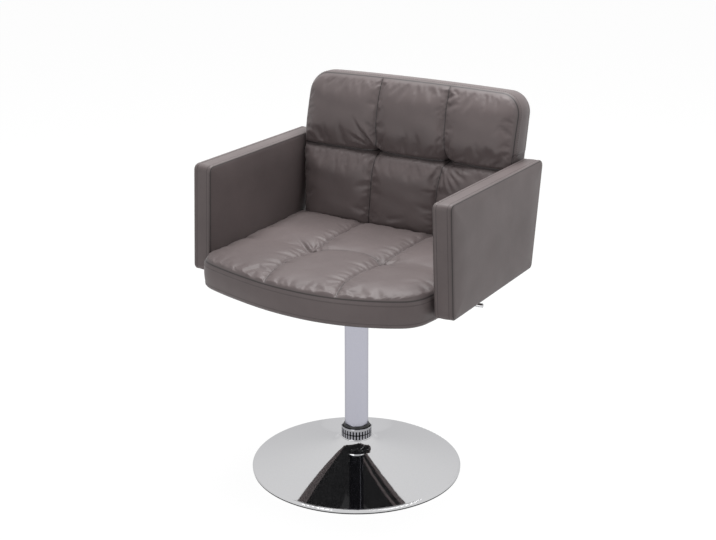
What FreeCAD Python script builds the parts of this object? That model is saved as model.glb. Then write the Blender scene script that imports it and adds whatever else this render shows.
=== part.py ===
import FreeCAD, Part
import math
import os
import re
import Sketcher

# A swivel dining chair with box arms on a round chrome trumpet base.
# The column's axis is the Z axis, the floor is Z = 0 and the sitter faces -Y.
# All sizes are millimetres and degrees, and the seat is drawn at its lowest setting.

SIZES = (
    ("base_radius", 215, "outer radius of the round base"),
    ("rim_bottom", 3, "height of the rim's lower edge above the floor"),
    ("rim_height", 7, "height of the rim above its lower edge"),
    ("rim_round", 3.5, "rounding of the rim's upper edge"),
    ("shell_wall", 2, "wall of the pressed base shell"),
    ("neck_radius", 32, "outer radius of the shell at the top of its neck"),
    ("neck_top", 68, "height of the top of the neck"),
    ("neck_flare", 45, "radius of the curve from the neck to the dish"),
    ("neck_lift", 26, "height of that curve's centre above the top of the neck"),
    ("dish_curve", 3000, "radius of the long curve of the dish"),
    ("pad_lip_width", 6, "width of the floor pad's lip inside the rim"),
    ("pad_lip_height", 2.2, "height of the floor pad's lip inside the rim"),
    ("pad_setback", 0.9, "distance of the floor pad's edge inside the rim"),
    ("ballast_radius", 165, "radius of the steel ballast plate"),
    ("ballast_thickness", 7.5, "thickness of the ballast plate"),
    ("ballast_opening", 34, "radius of the opening in the ballast plate"),
    ("hub_flange_radius", 60, "radius of the hub's flange"),
    ("hub_flange_thickness", 5, "thickness of the hub's flange"),
    ("hub_screw_circle", 46, "radius of the circle of the hub screws"),
    ("hub_screw_radius", 4, "shank radius of a hub screw"),
    ("hub_screw_head", 6.5, "head radius of a hub screw"),
    ("hub_screw_head_height", 3.5, "head height of a hub screw"),
    ("fit_gap", 0.05, "radial clearance of turned fits"),
    ("seat_gap", 0.3, "clearance between soft and wooden pieces"),
    ("cushion_gap", 2, "clearance between the seat cushion and the back"),
    ("lip_radius", 33.5, "outer radius of the lip ring on the neck"),
    ("lip_height", 3, "height of the lip ring"),
    ("lip_round", 1.575, "radius of the lip ring's rounded edge"),
    ("knurl_radius", 30.7, "outer radius of the knurled ring"),
    ("knurl_height", 17, "height of the knurled ring"),
    ("knurl_depth", 1.3, "depth of the knurled ring's grooves"),
    ("knurl_spread", 1.625, "half width of an upright groove where it leaves the ring"),
    ("knurl_over", 0.325, "distance that the groove's cutter reaches outside the ring"),
    ("knurl_count", 30, "number of facets round the knurled ring"),
    ("cup_radius", 33.5, "outer radius of the flared cup"),
    ("cup_height", 6, "height of the flared cup"),
    ("cup_floor", 2, "thickness of the flared cup's floor"),
    ("cup_lip", 1, "thickness of the flared cup's upper edge"),
    ("seal_radius", 27, "outer radius of the seal round the column"),
    ("seal_height", 7, "height of the seal round the column"),
    ("seal_lip", 1, "thickness of the seal's upper edge"),
    ("tube_radius", 24.15, "outer radius of the column tube"),
    ("tube_wall", 2, "wall of the column tube"),
    ("tube_bottom", 12, "height of the column tube's lower end"),
    ("tube_top", 340, "height of the column tube's upper end"),
    ("foot_thickness", 6, "thickness of the disc in the tube's lower end"),
    ("bush_length", 90, "length of the guide bush inside the tube"),
    ("bush_flange", 6, "height of the guide bush's flange"),
    ("bush_slope", 2, "radius lost over the height of the guide bush's flange"),
    ("cylinder_radius", 14, "outer radius of the gas cylinder"),
    ("cylinder_wall", 1.8, "wall of the gas cylinder"),
    ("cylinder_slack", 0.06, "radial clearance of the cylinder in its bush"),
    ("cylinder_cap", 14, "thickness of the gas cylinder's closed top"),
    ("gland_height", 12, "height of the gland at the cylinder's lower end"),
    ("rod_radius", 5, "radius of the piston rod"),
    ("rod_below", 6, "length of the rod below the tube's disc"),
    ("piston_height", 12, "height of the piston"),
    ("lift_travel", 120, "travel of the seat from lowest to highest"),
    ("race_radius", 15, "outer radius of the bearing's washers"),
    ("race_thickness", 2, "thickness of a bearing washer"),
    ("ball_radius", 2.5, "radius of a bearing ball"),
    ("ball_circle", 11, "radius of the circle of balls"),
    ("ball_count", 10, "number of bearing balls"),
    ("cage_height", 2, "height of the ball cage"),
    ("cage_inset", 0.5, "distance of the ball cage from the rod and from the washers' edge"),
    ("bump_height", 12, "height of the rubber bump washer"),
    ("bump_radius", 13, "radius of the rubber bump washer"),
    ("clip_radius", 9, "outer radius of the rod's retaining clip"),
    ("clip_thickness", 1.2, "thickness of the retaining clip"),
    ("groove_depth", 0.8, "depth of the clip's groove in the rod"),
    ("taper_length", 31, "length of the cylinder's tapered top in its socket"),
    ("taper_drop", 0.8, "radius lost over the taper"),
    ("taper_rise", 2.7, "length of the cylinder's top above the socket"),
    ("socket_radius", 18, "outer radius of the tapered socket"),
    ("socket_gap", 6, "space between the bush's flange and the socket"),
    ("channel_floor", 3, "thickness of the seat plate's steel"),
    ("channel_half", 45, "half width of the seat plate's channel"),
    ("channel_length", 150, "length of the seat plate along X"),
    ("plate_half", 82, "half width of the seat plate over its flanges"),
    ("plate_screw_x", 55, "place of the plate's screws from the centre along X"),
    ("plate_screw_y", 64, "place of the plate's screws from the centre along Y"),
    ("plate_screw_radius", 3, "shank radius of a plate screw"),
    ("plate_screw_head", 5.5, "head radius of a plate screw"),
    ("plate_screw_head_height", 4, "head height of a plate screw"),
    ("nut_radius", 4, "barrel radius of a tee nut"),
    ("nut_flange_radius", 9, "flange radius of a tee nut"),
    ("nut_flange", 1.5, "flange thickness of a tee nut"),
    ("pin_radius", 4, "radius of the valve pin"),
    ("pin_above", 6, "height of the valve pin above the cylinder"),
    ("pin_inside", 20, "length of the valve pin inside the cylinder"),
    ("lever_radius", 4, "radius of the height lever's rod"),
    ("lever_gap", 0.3, "space between the lever and the valve pin"),
    ("lever_pivot", 60, "distance of the lever's pivot from the column's axis"),
    ("lever_inner", 7, "length of the lever past the column's axis"),
    ("lever_bend", 150, "distance of the lever's bend from the column's axis"),
    ("lever_tip", 268, "distance of the lever's tip to the right of the column's axis"),
    ("lever_tip_back", 23, "distance of the lever's tip behind the column's axis"),
    ("pivot_radius", 2.5, "radius of the lever's pivot pin"),
    ("pivot_head", 4.5, "head radius of the lever's pivot pin"),
    ("pivot_head_height", 2, "head height of the lever's pivot pin"),
    ("seat_bottom", 410, "height of the seat's lower edge"),
    ("seat_edge", 464, "height of the seam round the seat's top"),
    ("seat_half", 246, "half width of the seat cushion"),
    ("seat_front", 247, "reach of the seat's bowed front from the axis"),
    ("seat_bow", 44, "depth of the bow across the front"),
    ("seat_bow_half", 190, "half width of the bow across the front"),
    ("seat_corner", 65, "depth of the rounded front corners"),
    ("seat_boxing_bulge", 3, "swell of the seat's boxed front"),
    ("seat_side_trim", 0.05, "distance of the cushion's outermost section inside its half width"),
    ("seat_crown", 9, "crown of a seat panel at its middle"),
    ("seat_crown_edge", 3, "crown of a seat panel at its seams"),
    ("seat_rise", 4, "height of the cross seam over the edge seam"),
    ("tuft_dip", 4, "depth of a tuft below the edge seam"),
    ("seam_offset", 80, "distance of the lengthwise seams from the middle"),
    ("tuft_place", 40, "distance of the seat's tufts ahead of the axis"),
    ("board_inset", 10, "inset of the seat board from the cushion's edge"),
    ("board_thickness", 15, "thickness of the seat board"),
    ("cover_thickness", 1.5, "thickness of the black cover under the seat"),
    ("rail_width", 22, "width of a seat rail"),
    ("rail_height", 25, "height of a seat rail"),
    ("rail_front", 110, "distance of a rail's front end ahead of the axis"),
    ("rail_rear", 150, "distance of a rail's rear end behind the axis"),
    ("back_line", 190, "distance of the back's seam plane behind the axis"),
    ("back_cross_seam", 615, "height of the cross seam of the back"),
    ("back_top", 767, "height of the seam along the back's top"),
    ("back_top_line", 224, "distance of the back's top seam behind the axis"),
    ("back_shoulder", 655, "height where the back's seam plane starts to lean"),
    ("back_bottom", 430, "height of the back pad's lower edge"),
    ("back_tuck", 7, "distance of the back pad's side inside the seat's half width"),
    ("back_corner", 45, "radius of the back's upper corners"),
    ("back_top_crown", 4, "rise of the back's top edge in the middle"),
    ("back_side_trim", 1, "distance of the back's outermost section inside its half width"),
    ("back_rear_drop", 2, "drop of the back's rear top edge below its front one"),
    ("back_bulge_low", 24, "swell of the back's lower panels"),
    ("back_bulge_high", 15, "swell of the back's upper panels"),
    ("back_bulge_edge", 4, "swell of a back panel at its seams"),
    ("back_seam_rise", 6, "swell of the back's cross seam between its tufts"),
    ("back_foot_line", 214, "distance of the back's rear face behind the axis at its foot"),
    ("back_foot", 424, "height at which that distance is measured"),
    ("back_lean_degrees", 11.3, "lean of the back's rear face"),
    ("rear_panel", 10, "thickness of the padded panel on the rear"),
    ("rear_inset", 13, "inset of the rear panel from the back's edge"),
    ("back_board", 12, "thickness of the board in the back"),
    ("back_board_inset", 16, "inset of the back board from the back's edge"),
    ("bracket_width", 32, "width of a back bracket"),
    ("bracket_thickness", 4, "thickness of a back bracket"),
    ("bracket_place", 110, "distance of the back brackets from the middle"),
    ("bracket_rise", 150, "height of a bracket's upright leg"),
    ("bracket_reach", 95, "length of a bracket's lower leg ahead of the bend"),
    ("bracket_screw_first", 15, "distance of a bracket's first lower screw from its front end"),
    ("bracket_screw_second", 45, "distance of a bracket's second lower screw from its front end"),
    ("bracket_screw_drop", 32, "distance of a bracket's top screw below its top"),
    ("bracket_screw_apart", 48, "distance between a bracket's upper screws"),
    ("bracket_screw_radius", 2.5, "shank radius of a bracket screw"),
    ("bracket_screw_head", 5, "head radius of a bracket screw"),
    ("bracket_screw_length", 10, "length of a bracket screw in the wood"),
    ("bracket_screw_head_height", 2.5, "head height of a bracket screw"),
    ("arm_tuck", 6.5, "distance of an arm's upper inner edge inside the seat's half width"),
    ("arm_thickness", 42.5, "thickness of an upholstered arm"),
    ("arm_top", 637, "height of the arms at their front"),
    ("arm_height", 214, "height of an arm's front"),
    ("arm_rear_height", 206, "height of an arm's rear"),
    ("arm_drop", 6, "drop of the arm's top towards the rear"),
    ("arm_front", 145, "distance of the arms' front ahead of the axis"),
    ("arm_rear_top", 248, "distance of the arm's upper rear corner behind the axis"),
    ("arm_rear_bottom", 194, "distance of the arm's lower rear corner behind the axis"),
    ("arm_splay_degrees", 2.35, "outward lean of the arms towards the bottom"),
    ("arm_corner", 12, "rounding of an arm's corners seen from the side"),
    ("arm_edge", 6, "rounding of an arm's long edges"),
    ("arm_panel", 7, "thickness of an arm's padded inner panel"),
    ("arm_board", 20, "thickness of the board in an arm"),
    ("arm_board_inset", 16, "inset of the board from an arm's front, top and rear"),
    ("arm_board_foot", 5, "inset of the board from an arm's lower edge"),
    ("arm_bolt_height", 440, "height of the bolts between rail and arm"),
    ("arm_bolt_front", 60, "distance of the front arm bolt ahead of the axis"),
    ("arm_bolt_rear", 100, "distance of the rear arm bolt behind the axis"),
    ("arm_bolt_radius", 4, "shank radius of an arm bolt"),
    ("arm_bolt_head", 6.5, "head radius of an arm bolt"),
    ("arm_bolt_head_height", 5, "head height of an arm bolt"),
    ("arm_bolt_length", 52, "length of an arm bolt under its head"),
    ("arm_nut_radius", 5.5, "outer radius of an arm's threaded insert"),
    ("arm_nut_length", 14, "length of an arm's threaded insert"),
)
AMOUNT = {name: float(number) for name, number, note in SIZES}
WORD = re.compile(r"[a-z_][a-z_0-9]*")


def value(text):
    """Number that a size expression such as 'tube_top + bush_flange' stands for."""
    numbers = WORD.sub(lambda word: "(" + repr(AMOUNT[word.group()]) + ")", str(text))
    return FreeCAD.Units.Quantity(numbers).Value


def bound(text):
    """The same expression, written with the spreadsheet's cells."""
    return WORD.sub(lambda word: "Sizes." + word.group(), str(text))


def bind(thing, **places):
    """Tie properties of a document object to size expressions."""
    for name, text in places.items():
        thing.setExpression(name.replace("__", "."), bound(text))
    return thing


def place(thing, x="0", y="0", z="0"):
    """Set an object's place by size expressions."""
    return bind(thing, Placement__Base__x=x, Placement__Base__y=y, Placement__Base__z=z)


document = FreeCAD.newDocument("SwivelChair")
sheet = document.addObject("Spreadsheet::Sheet", "Sizes")
for row, (name, number, note) in enumerate(SIZES, start=1):
    sheet.set("A%d" % row, name)
    sheet.set("B%d" % row, str(number))
    sheet.set("C%d" % row, note)
    sheet.setAlias("B%d" % row, name)
document.recompute()
PIECES = []


def piece(thing, label):
    """Name a finished sub-part, so that it is written out under that name."""
    thing.Label = label
    PIECES.append(thing)
    return thing


def vector(x, y, z=0.0):
    return FreeCAD.Vector(x, y, z)


# Sketched bodies

def new_body(name):
    return document.addObject("PartDesign::Body", name + "_body")


def new_sketch(body, role, name="Outline"):
    """A sketch on one of the body's own origin planes."""
    sketch = body.newObject("Sketcher::SketchObject", body.Name + "_" + name)
    plane = [item for item in body.Origin.OriginFeatures if item.Role == role][0]
    sketch.AttachmentSupport = [(plane, "")]
    sketch.MapMode = "FlatFace"
    return sketch


def arc_between(start, end, radius, side):
    """Short arc from start to end, with its centre to the left (side 1) or right (-1)."""
    middle = (start + end) * 0.5
    half = (end - start).Length / 2.0
    across = vector(start.y - end.y, end.x - start.x).normalize()
    centre = middle + across * (side * math.sqrt(max(radius * radius - half * half, 0.0)))
    first, last = (start, end) if side > 0 else (end, start)
    angle_one = math.atan2(first.y - centre.y, first.x - centre.x)
    angle_two = math.atan2(last.y - centre.y, last.x - centre.x)
    if angle_two < angle_one:
        angle_two += 2 * math.pi
    circle = Part.Circle(centre, vector(0, 0, 1), radius)
    return Part.ArcOfCircle(circle, angle_one, angle_two)


def draw_outline(sketch, points, arcs=None, free=()):
    """Closed outline through points given as pairs of size expressions.

    arcs maps the number of an edge to its radius and side. A point whose number is
    in free is only a starting value, which the outline's other rules then settle.
    """
    arcs = arcs or {}
    spots = [vector(value(x), value(y)) for x, y in points]
    ends = []
    for index, spot in enumerate(spots):
        after = spots[(index + 1) % len(spots)]
        if index in arcs:
            radius, side = arcs[index]
            edge = sketch.addGeometry(arc_between(spot, after, value(radius), side))
            ends.append((edge, 1, 2) if side > 0 else (edge, 2, 1))
            rule = sketch.addConstraint(Sketcher.Constraint("Radius", edge, value(radius)))
            sketch.setExpression("Constraints[%d]" % rule, bound(radius))
        else:
            edge = sketch.addGeometry(Part.LineSegment(spot, after))
            ends.append((edge, 1, 2))
    for index, (edge, start, end) in enumerate(ends):
        following = ends[(index + 1) % len(ends)]
        joint = (index + 1) % len(ends)
        kind = "Tangent" if joint in free else "Coincident"
        sketch.addConstraint(Sketcher.Constraint(kind, edge, end, following[0], following[1]))
    for index, (edge, start, end) in enumerate(ends):
        if index not in free:
            pin_point(sketch, edge, start, *points[index])
    return ends


def pin_point(sketch, edge, corner, across=None, up=None):
    """Hold a start (1), end (2) or centre (3) of an edge at distances from the sketch's origin."""
    for kind, text in (("DistanceX", across), ("DistanceY", up)):
        if text is not None:
            rule = Sketcher.Constraint(kind, -1, 1, edge, corner, value(text))
            number = sketch.addConstraint(rule)
            sketch.setExpression("Constraints[%d]" % number, bound(text))


def draw_circle(sketch, across, up, radius):
    """Circle at a place given by size expressions."""
    centre = vector(value(across), value(up))
    edge = sketch.addGeometry(Part.Circle(centre, vector(0, 0, 1), value(radius)))
    rule = sketch.addConstraint(Sketcher.Constraint("Radius", edge, value(radius)))
    sketch.setExpression("Constraints[%d]" % rule, bound(radius))
    pin_point(sketch, edge, 3, across, up)


def revolve(body, sketch):
    """Full turn of the sketch about the Z axis."""
    turn = body.newObject("PartDesign::Revolution", body.Name + "_Turn")
    turn.Profile = sketch
    turn.ReferenceAxis = (sketch, ["V_Axis"])
    turn.Angle = 360
    return turn


def turned(name, points, arcs=None):
    """Body turned from an outline of radius and height pairs."""
    body = new_body(name)
    sketch = new_sketch(body, "XZ_Plane")
    draw_outline(sketch, points, arcs)
    revolve(body, sketch)
    return body


def ring(name, inner, outer, bottom, top):
    """Plain ring of square section."""
    return turned(name, ((inner, bottom), (outer, bottom), (outer, top), (inner, top)))


def extrude(body, sketch, length, midplane=False, reverse=False):
    pad = body.newObject("PartDesign::Pad", body.Name + "_Pad")
    pad.Profile = sketch
    bind(pad, Length=length)
    pad.Midplane = midplane
    pad.Reversed = reverse
    return pad


def slab(name, role, points, length, arcs=None, midplane=False, reverse=False):
    """Body of even thickness, raised from an outline on one of its planes."""
    body = new_body(name)
    sketch = new_sketch(body, role)
    draw_outline(sketch, points, arcs)
    extrude(body, sketch, length, midplane, reverse)
    return body


def drill(body, role, holes, reverse=True):
    """Round holes right through a body, each as across, up and radius."""
    document.recompute()
    before = body.Shape.Volume
    sketch = new_sketch(body, role, "Holes")
    for across, up, radius in holes:
        draw_circle(sketch, across, up, radius)
    pocket = body.newObject("PartDesign::Pocket", body.Name + "_Drilled")
    pocket.Profile = sketch
    pocket.Type = "ThroughAll"
    pocket.Reversed = reverse
    document.recompute()
    if not body.Shape.Volume < before:
        raise ValueError("the holes in %s cut nothing" % body.Name)
    return pocket


# Plain solids and booleans

def rod(name, radius, length, x="0", y="0", z="0", axis="Z"):
    """Round bar that starts at x, y, z and runs along one axis."""
    bar = document.addObject("Part::Cylinder", name)
    bind(bar, Radius=radius, Height=length)
    turns = {"Z": (0, 0, 1, 0), "X": (0, 1, 0, 90), "-X": (0, 1, 0, -90), "Y": (1, 0, 0, -90)}
    axis_x, axis_y, axis_z, angle = turns[axis]
    spin = FreeCAD.Rotation(FreeCAD.Vector(axis_x, axis_y, axis_z), angle)
    bar.Placement = FreeCAD.Placement(vector(0, 0), spin)
    return place(bar, x, y, z)


def box(name, length, width, height, x, y, z):
    """Box with its lowest corner at x, y, z."""
    block = document.addObject("Part::Box", name)
    bind(block, Length=length, Width=width, Height=height)
    return place(block, x, y, z)


def joined(name, things):
    whole = document.addObject("Part::MultiFuse", name)
    whole.Shapes = things
    whole.Refine = True
    return whole


def grouped(name, things):
    """Several separate solids that share one node."""
    group = document.addObject("Part::Compound", name)
    group.Links = things
    return group


def cut(name, base, tools):
    """The base with one or more tools taken away from it."""
    result = base
    for number, tool in enumerate(tools):
        step = document.addObject("Part::Cut", "%s_cut_%d" % (name, number))
        step.Base = result
        step.Tool = tool
        result = step
    return result


def screw(name, shank, length, head, head_height, x, y, z):
    """Hexagon screw: its head starts at z and its shank follows upward."""
    cap = document.addObject("Part::Prism", name + "_head")
    cap.Polygon = 6
    bind(cap, Circumradius=head, Height=head_height)
    place(cap, x, y, z)
    stem = rod(name + "_stem", shank, "(%s) + (%s) / 2" % (length, head_height), x, y,
               "(%s) + (%s) / 2" % (z, head_height))
    return joined(name, [cap, stem])


# Heights that several pieces share

RIM_TOP = "rim_bottom + rim_height"
BALLAST_BOTTOM = "rim_bottom + seat_gap"
BALLAST_TOP = BALLAST_BOTTOM + " + ballast_thickness"
LIP_TOP = "neck_top + lip_height"
KNURL_TOP = LIP_TOP + " + knurl_height"
CUP_TOP = KNURL_TOP + " + cup_height"
TUBE_BORE = "tube_radius - tube_wall"
FOOT_TOP = "tube_bottom + foot_thickness"
RACE_TOP = FOOT_TOP + " + race_thickness"
UPPER_RACE = RACE_TOP + " + 2 * ball_radius"
BUMP_BOTTOM = UPPER_RACE + " + race_thickness"
CYLINDER_BOTTOM = BUMP_BOTTOM + " + bump_height + seat_gap"
GLAND_TOP = CYLINDER_BOTTOM + " + gland_height"
PISTON_BOTTOM = GLAND_TOP + " + lift_travel + seat_gap"
BUSH_TOP = "tube_top + bush_flange"
SOCKET_BOTTOM = BUSH_TOP + " + socket_gap"
SOCKET_TOP = SOCKET_BOTTOM + " + taper_length"
CYLINDER_TOP = SOCKET_TOP + " + taper_rise"
PIN_TOP = CYLINDER_TOP + " + pin_above"
LEVER_HEIGHT = PIN_TOP + " + lever_gap + lever_radius"
PLATE_TOP = "seat_bottom + seat_gap"
BACK_HALF = "seat_half - back_tuck"
ARM_INNER = "seat_half - arm_tuck"
COVER_TOP = PLATE_TOP + " + cover_thickness"
BOARD_TOP = COVER_TOP + " + board_thickness"


# The base

def dish_tangent():
    """Point where the dish's long curve runs into the curve of the neck."""
    start = vector(value("base_radius - rim_round"), value(RIM_TOP))
    long_radius = value("dish_curve")
    short_radius = value("neck_flare")
    outward = math.sqrt(short_radius ** 2 - value("neck_lift") ** 2)
    neck = vector(value("neck_radius") + outward, value("neck_top + neck_lift"))
    apart = (neck - start).Length
    reach = long_radius - short_radius
    along = (long_radius ** 2 - reach ** 2 + apart ** 2) / (2 * apart)
    aside = math.sqrt(long_radius ** 2 - along ** 2)
    step = (neck - start) / apart
    centre = start + step * along + vector(step.y, -step.x) * aside
    if centre.y < start.y:
        centre = start + step * along - vector(step.y, -step.x) * aside
    return centre + (neck - centre) * (long_radius / reach)


def base_shell():
    """Pressed trumpet shell: rim, long shallow dish, flare and neck, with an even wall."""
    body = new_body("base_shell")
    sketch = new_sketch(body, "XZ_Plane")
    touch = dish_tangent()
    inward = value("shell_wall")
    points = (
        ("base_radius", "rim_bottom"),
        ("base_radius", RIM_TOP + " - rim_round"),
        ("base_radius - rim_round", RIM_TOP),
        (touch.x, touch.y),
        ("neck_radius", "neck_top"),
        ("neck_radius - shell_wall", "neck_top"),
        ("neck_radius - shell_wall", "neck_top - shell_wall"),
        (touch.x - inward, touch.y - inward),
        ("base_radius - rim_round - shell_wall", RIM_TOP + " - shell_wall"),
        ("base_radius - shell_wall", RIM_TOP + " - rim_round"),
        ("base_radius - shell_wall", "rim_bottom"),
    )
    arcs = {
        1: ("rim_round", 1),
        2: ("dish_curve", -1),
        3: ("neck_flare", -1),
        6: ("neck_flare", 1),
        7: ("dish_curve", 1),
    }
    ends = draw_outline(sketch, points, arcs, free=(3, 7))
    pin_point(sketch, ends[3][0], 3, up="neck_top + neck_lift")
    pin_point(sketch, ends[6][0], 3, up="neck_top - shell_wall + neck_lift")
    revolve(body, sketch)
    return body


piece(base_shell(), "base_shell")

PAD_EDGE = "base_radius - pad_setback"
PAD_LIP = "base_radius - shell_wall - fit_gap"
piece(turned("floor_pad", (
    ("0", "0"),
    (PAD_EDGE, "0"),
    (PAD_EDGE, "rim_bottom"),
    (PAD_LIP, "rim_bottom"),
    (PAD_LIP, "rim_bottom + pad_lip_height"),
    (PAD_LIP + " - pad_lip_width", "rim_bottom + pad_lip_height"),
    (PAD_LIP + " - pad_lip_width", "rim_bottom"),
    ("0", "rim_bottom"),
)), "floor_pad")


def screw_spots():
    """Places of the three hub screws, as pairs of expressions."""
    turns = ((1.0, 0.0), (-0.5, math.sqrt(0.75)), (-0.5, -math.sqrt(0.75)))
    return [("hub_screw_circle * %.6f" % c, "hub_screw_circle * %.6f" % s) for c, s in turns]


def ballast_plate():
    """Steel disc that weighs the base down, with sunk holes for the hub screws."""
    body = ring("ballast_plate", "ballast_opening", "ballast_radius", BALLAST_BOTTOM, BALLAST_TOP)
    spots = screw_spots()
    drill(body, "XY_Plane", [(x, y, "hub_screw_radius + fit_gap") for x, y in spots])
    sunk = [rod("ballast_sink_%d" % number, "hub_screw_head + seat_gap",
                "hub_screw_head_height + seat_gap", x, y, BALLAST_BOTTOM)
            for number, (x, y) in enumerate(spots)]
    return cut("ballast_plate", body, sunk)


def base_hub():
    """Steel socket under the neck that holds the column tube, with a flange for the screws."""
    body = turned("base_hub", (
        ("tube_radius + fit_gap", BALLAST_TOP),
        ("hub_flange_radius", BALLAST_TOP),
        ("hub_flange_radius", BALLAST_TOP + " + hub_flange_thickness"),
        ("neck_radius - shell_wall - seat_gap", BALLAST_TOP + " + hub_flange_thickness"),
        ("neck_radius - shell_wall - seat_gap", "neck_top"),
        ("tube_radius + fit_gap", "neck_top"),
    ))
    drill(body, "XY_Plane", [(x, y, "hub_screw_radius + fit_gap") for x, y in screw_spots()])
    return body


def hub_screws():
    length = "ballast_thickness - hub_screw_head_height + hub_flange_thickness"
    screws = [screw("hub_screw_%d" % number, "hub_screw_radius", length, "hub_screw_head",
                    "hub_screw_head_height", x, y, BALLAST_BOTTOM)
              for number, (x, y) in enumerate(screw_spots())]
    return grouped("hub_screws_group", screws)


piece(ballast_plate(), "ballast_plate")
piece(base_hub(), "base_hub")
piece(hub_screws(), "hub_screws")

BORE = "tube_radius + fit_gap"
piece(turned("neck_lip_ring", (
    (BORE, "neck_top"),
    ("lip_radius - lip_height / 2", "neck_top"),
    ("lip_radius - lip_height / 2", LIP_TOP),
    (BORE, LIP_TOP),
), {1: ("lip_round", 1)}), "neck_lip_ring")


def knurled_ring():
    """Ring with upright grooves and one groove round its middle, so two rows of facets."""
    body = new_body("knurled_ring")
    sketch = new_sketch(body, "XZ_Plane")
    middle = LIP_TOP + " + knurl_height / 2"
    draw_outline(sketch, (
        (BORE, LIP_TOP),
        ("knurl_radius", LIP_TOP),
        ("knurl_radius", middle + " - knurl_depth"),
        ("knurl_radius - knurl_depth", middle),
        ("knurl_radius", middle + " + knurl_depth"),
        ("knurl_radius", KNURL_TOP),
        (BORE, KNURL_TOP),
    ))
    revolve(body, sketch)
    document.recompute()
    whole = body.Shape.Volume
    notch = new_sketch(body, "XY_Plane", "Notch")
    draw_outline(notch, (
        ("knurl_radius - knurl_depth", "0"),
        ("knurl_radius + knurl_over", "0 - knurl_spread"),
        ("knurl_radius + knurl_over", "knurl_spread"),
    ))
    groove = body.newObject("PartDesign::Pocket", "knurled_ring_Groove")
    groove.Profile = notch
    groove.Type = "ThroughAll"
    groove.Reversed = True
    document.recompute()
    pattern = body.newObject("PartDesign::PolarPattern", "knurled_ring_Pattern")
    pattern.Originals = [groove]
    axis = [item for item in body.Origin.OriginFeatures if item.Role == "Z_Axis"][0]
    pattern.Axis = (axis, [""])
    pattern.Angle = 360
    bind(pattern, Occurrences="knurl_count")
    body.Tip = pattern
    document.recompute()
    if not body.Shape.Volume < whole:
        raise ValueError("the grooves of the knurled ring cut nothing")
    return body


piece(knurled_ring(), "knurled_ring")

piece(turned("collar_cup", (
    (BORE, KNURL_TOP),
    ("knurl_radius", KNURL_TOP),
    ("cup_radius", CUP_TOP),
    ("cup_radius - cup_lip", CUP_TOP),
    ("seal_radius + fit_gap", KNURL_TOP + " + cup_floor"),
    (BORE, KNURL_TOP + " + cup_floor"),
)), "collar_cup")

SEAL_BOTTOM = KNURL_TOP + " + cup_floor"
piece(turned("tube_seal", (
    (BORE, SEAL_BOTTOM),
    ("seal_radius", SEAL_BOTTOM),
    ("seal_radius", SEAL_BOTTOM + " + seal_height / 2"),
    ("tube_radius + seal_lip", SEAL_BOTTOM + " + seal_height"),
    (BORE, SEAL_BOTTOM + " + seal_height"),
)), "tube_seal")


# The column

piece(ring("stand_tube", TUBE_BORE, "tube_radius", "tube_bottom", "tube_top"), "stand_tube")
piece(ring("tube_foot", "rod_radius + fit_gap", TUBE_BORE + " - fit_gap", "tube_bottom", FOOT_TOP),
      "tube_foot")
piece(turned("guide_bush", (
    ("cylinder_radius + cylinder_slack", "tube_top - bush_length"),
    (TUBE_BORE + " - fit_gap", "tube_top - bush_length"),
    (TUBE_BORE + " - fit_gap", "tube_top"),
    ("tube_radius", "tube_top"),
    ("tube_radius - bush_slope", BUSH_TOP),
    ("cylinder_radius + cylinder_slack", BUSH_TOP),
)), "guide_bush")

RACE_BORE = "rod_radius + fit_gap"
piece(ring("bearing_lower_race", RACE_BORE, "race_radius", FOOT_TOP, RACE_TOP), "bearing_lower_race")


def ball_spots():
    """Places of the bearing balls round the rod."""
    count = int(round(value("ball_count")))
    turns = [2 * math.pi * number / count for number in range(count)]
    return [("ball_circle * %.6f" % math.cos(turn), "ball_circle * %.6f" % math.sin(turn))
            for turn in turns]


def bearing_balls():
    balls = []
    for number, (x, y) in enumerate(ball_spots()):
        ball = document.addObject("Part::Sphere", "ball_%d" % number)
        bind(ball, Radius="ball_radius")
        balls.append(place(ball, x, y, RACE_TOP + " + ball_radius"))
    return grouped("bearing_balls_group", balls)


def bearing_cage():
    """Flat ring with a round pocket for each ball."""
    bottom = RACE_TOP + " + ball_radius - cage_height / 2"
    body = ring("bearing_cage", "rod_radius + cage_inset", "race_radius - cage_inset", bottom,
                bottom + " + cage_height")
    drill(body, "XY_Plane", [(x, y, "ball_radius + fit_gap") for x, y in ball_spots()])
    return body


piece(bearing_balls(), "bearing_balls")
piece(bearing_cage(), "bearing_cage")
piece(ring("bearing_upper_race", RACE_BORE, "race_radius", UPPER_RACE, BUMP_BOTTOM), "bearing_upper_race")
piece(ring("bump_washer", RACE_BORE, "bump_radius", BUMP_BOTTOM, BUMP_BOTTOM + " + bump_height"),
      "bump_washer")

CLIP_TOP = "tube_bottom - fit_gap"
CLIP_BOTTOM = CLIP_TOP + " - clip_thickness"
ROD_BOTTOM = "tube_bottom - rod_below"


def piston_rod():
    """Rod that hangs in the column's foot, grooved for its clip."""
    return turned("piston_rod", (
        ("0", ROD_BOTTOM),
        ("rod_radius", ROD_BOTTOM),
        ("rod_radius", CLIP_BOTTOM),
        ("rod_radius - groove_depth", CLIP_BOTTOM),
        ("rod_radius - groove_depth", CLIP_TOP),
        ("rod_radius", CLIP_TOP),
        ("rod_radius", PISTON_BOTTOM),
        ("0", PISTON_BOTTOM),
    ))


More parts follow.
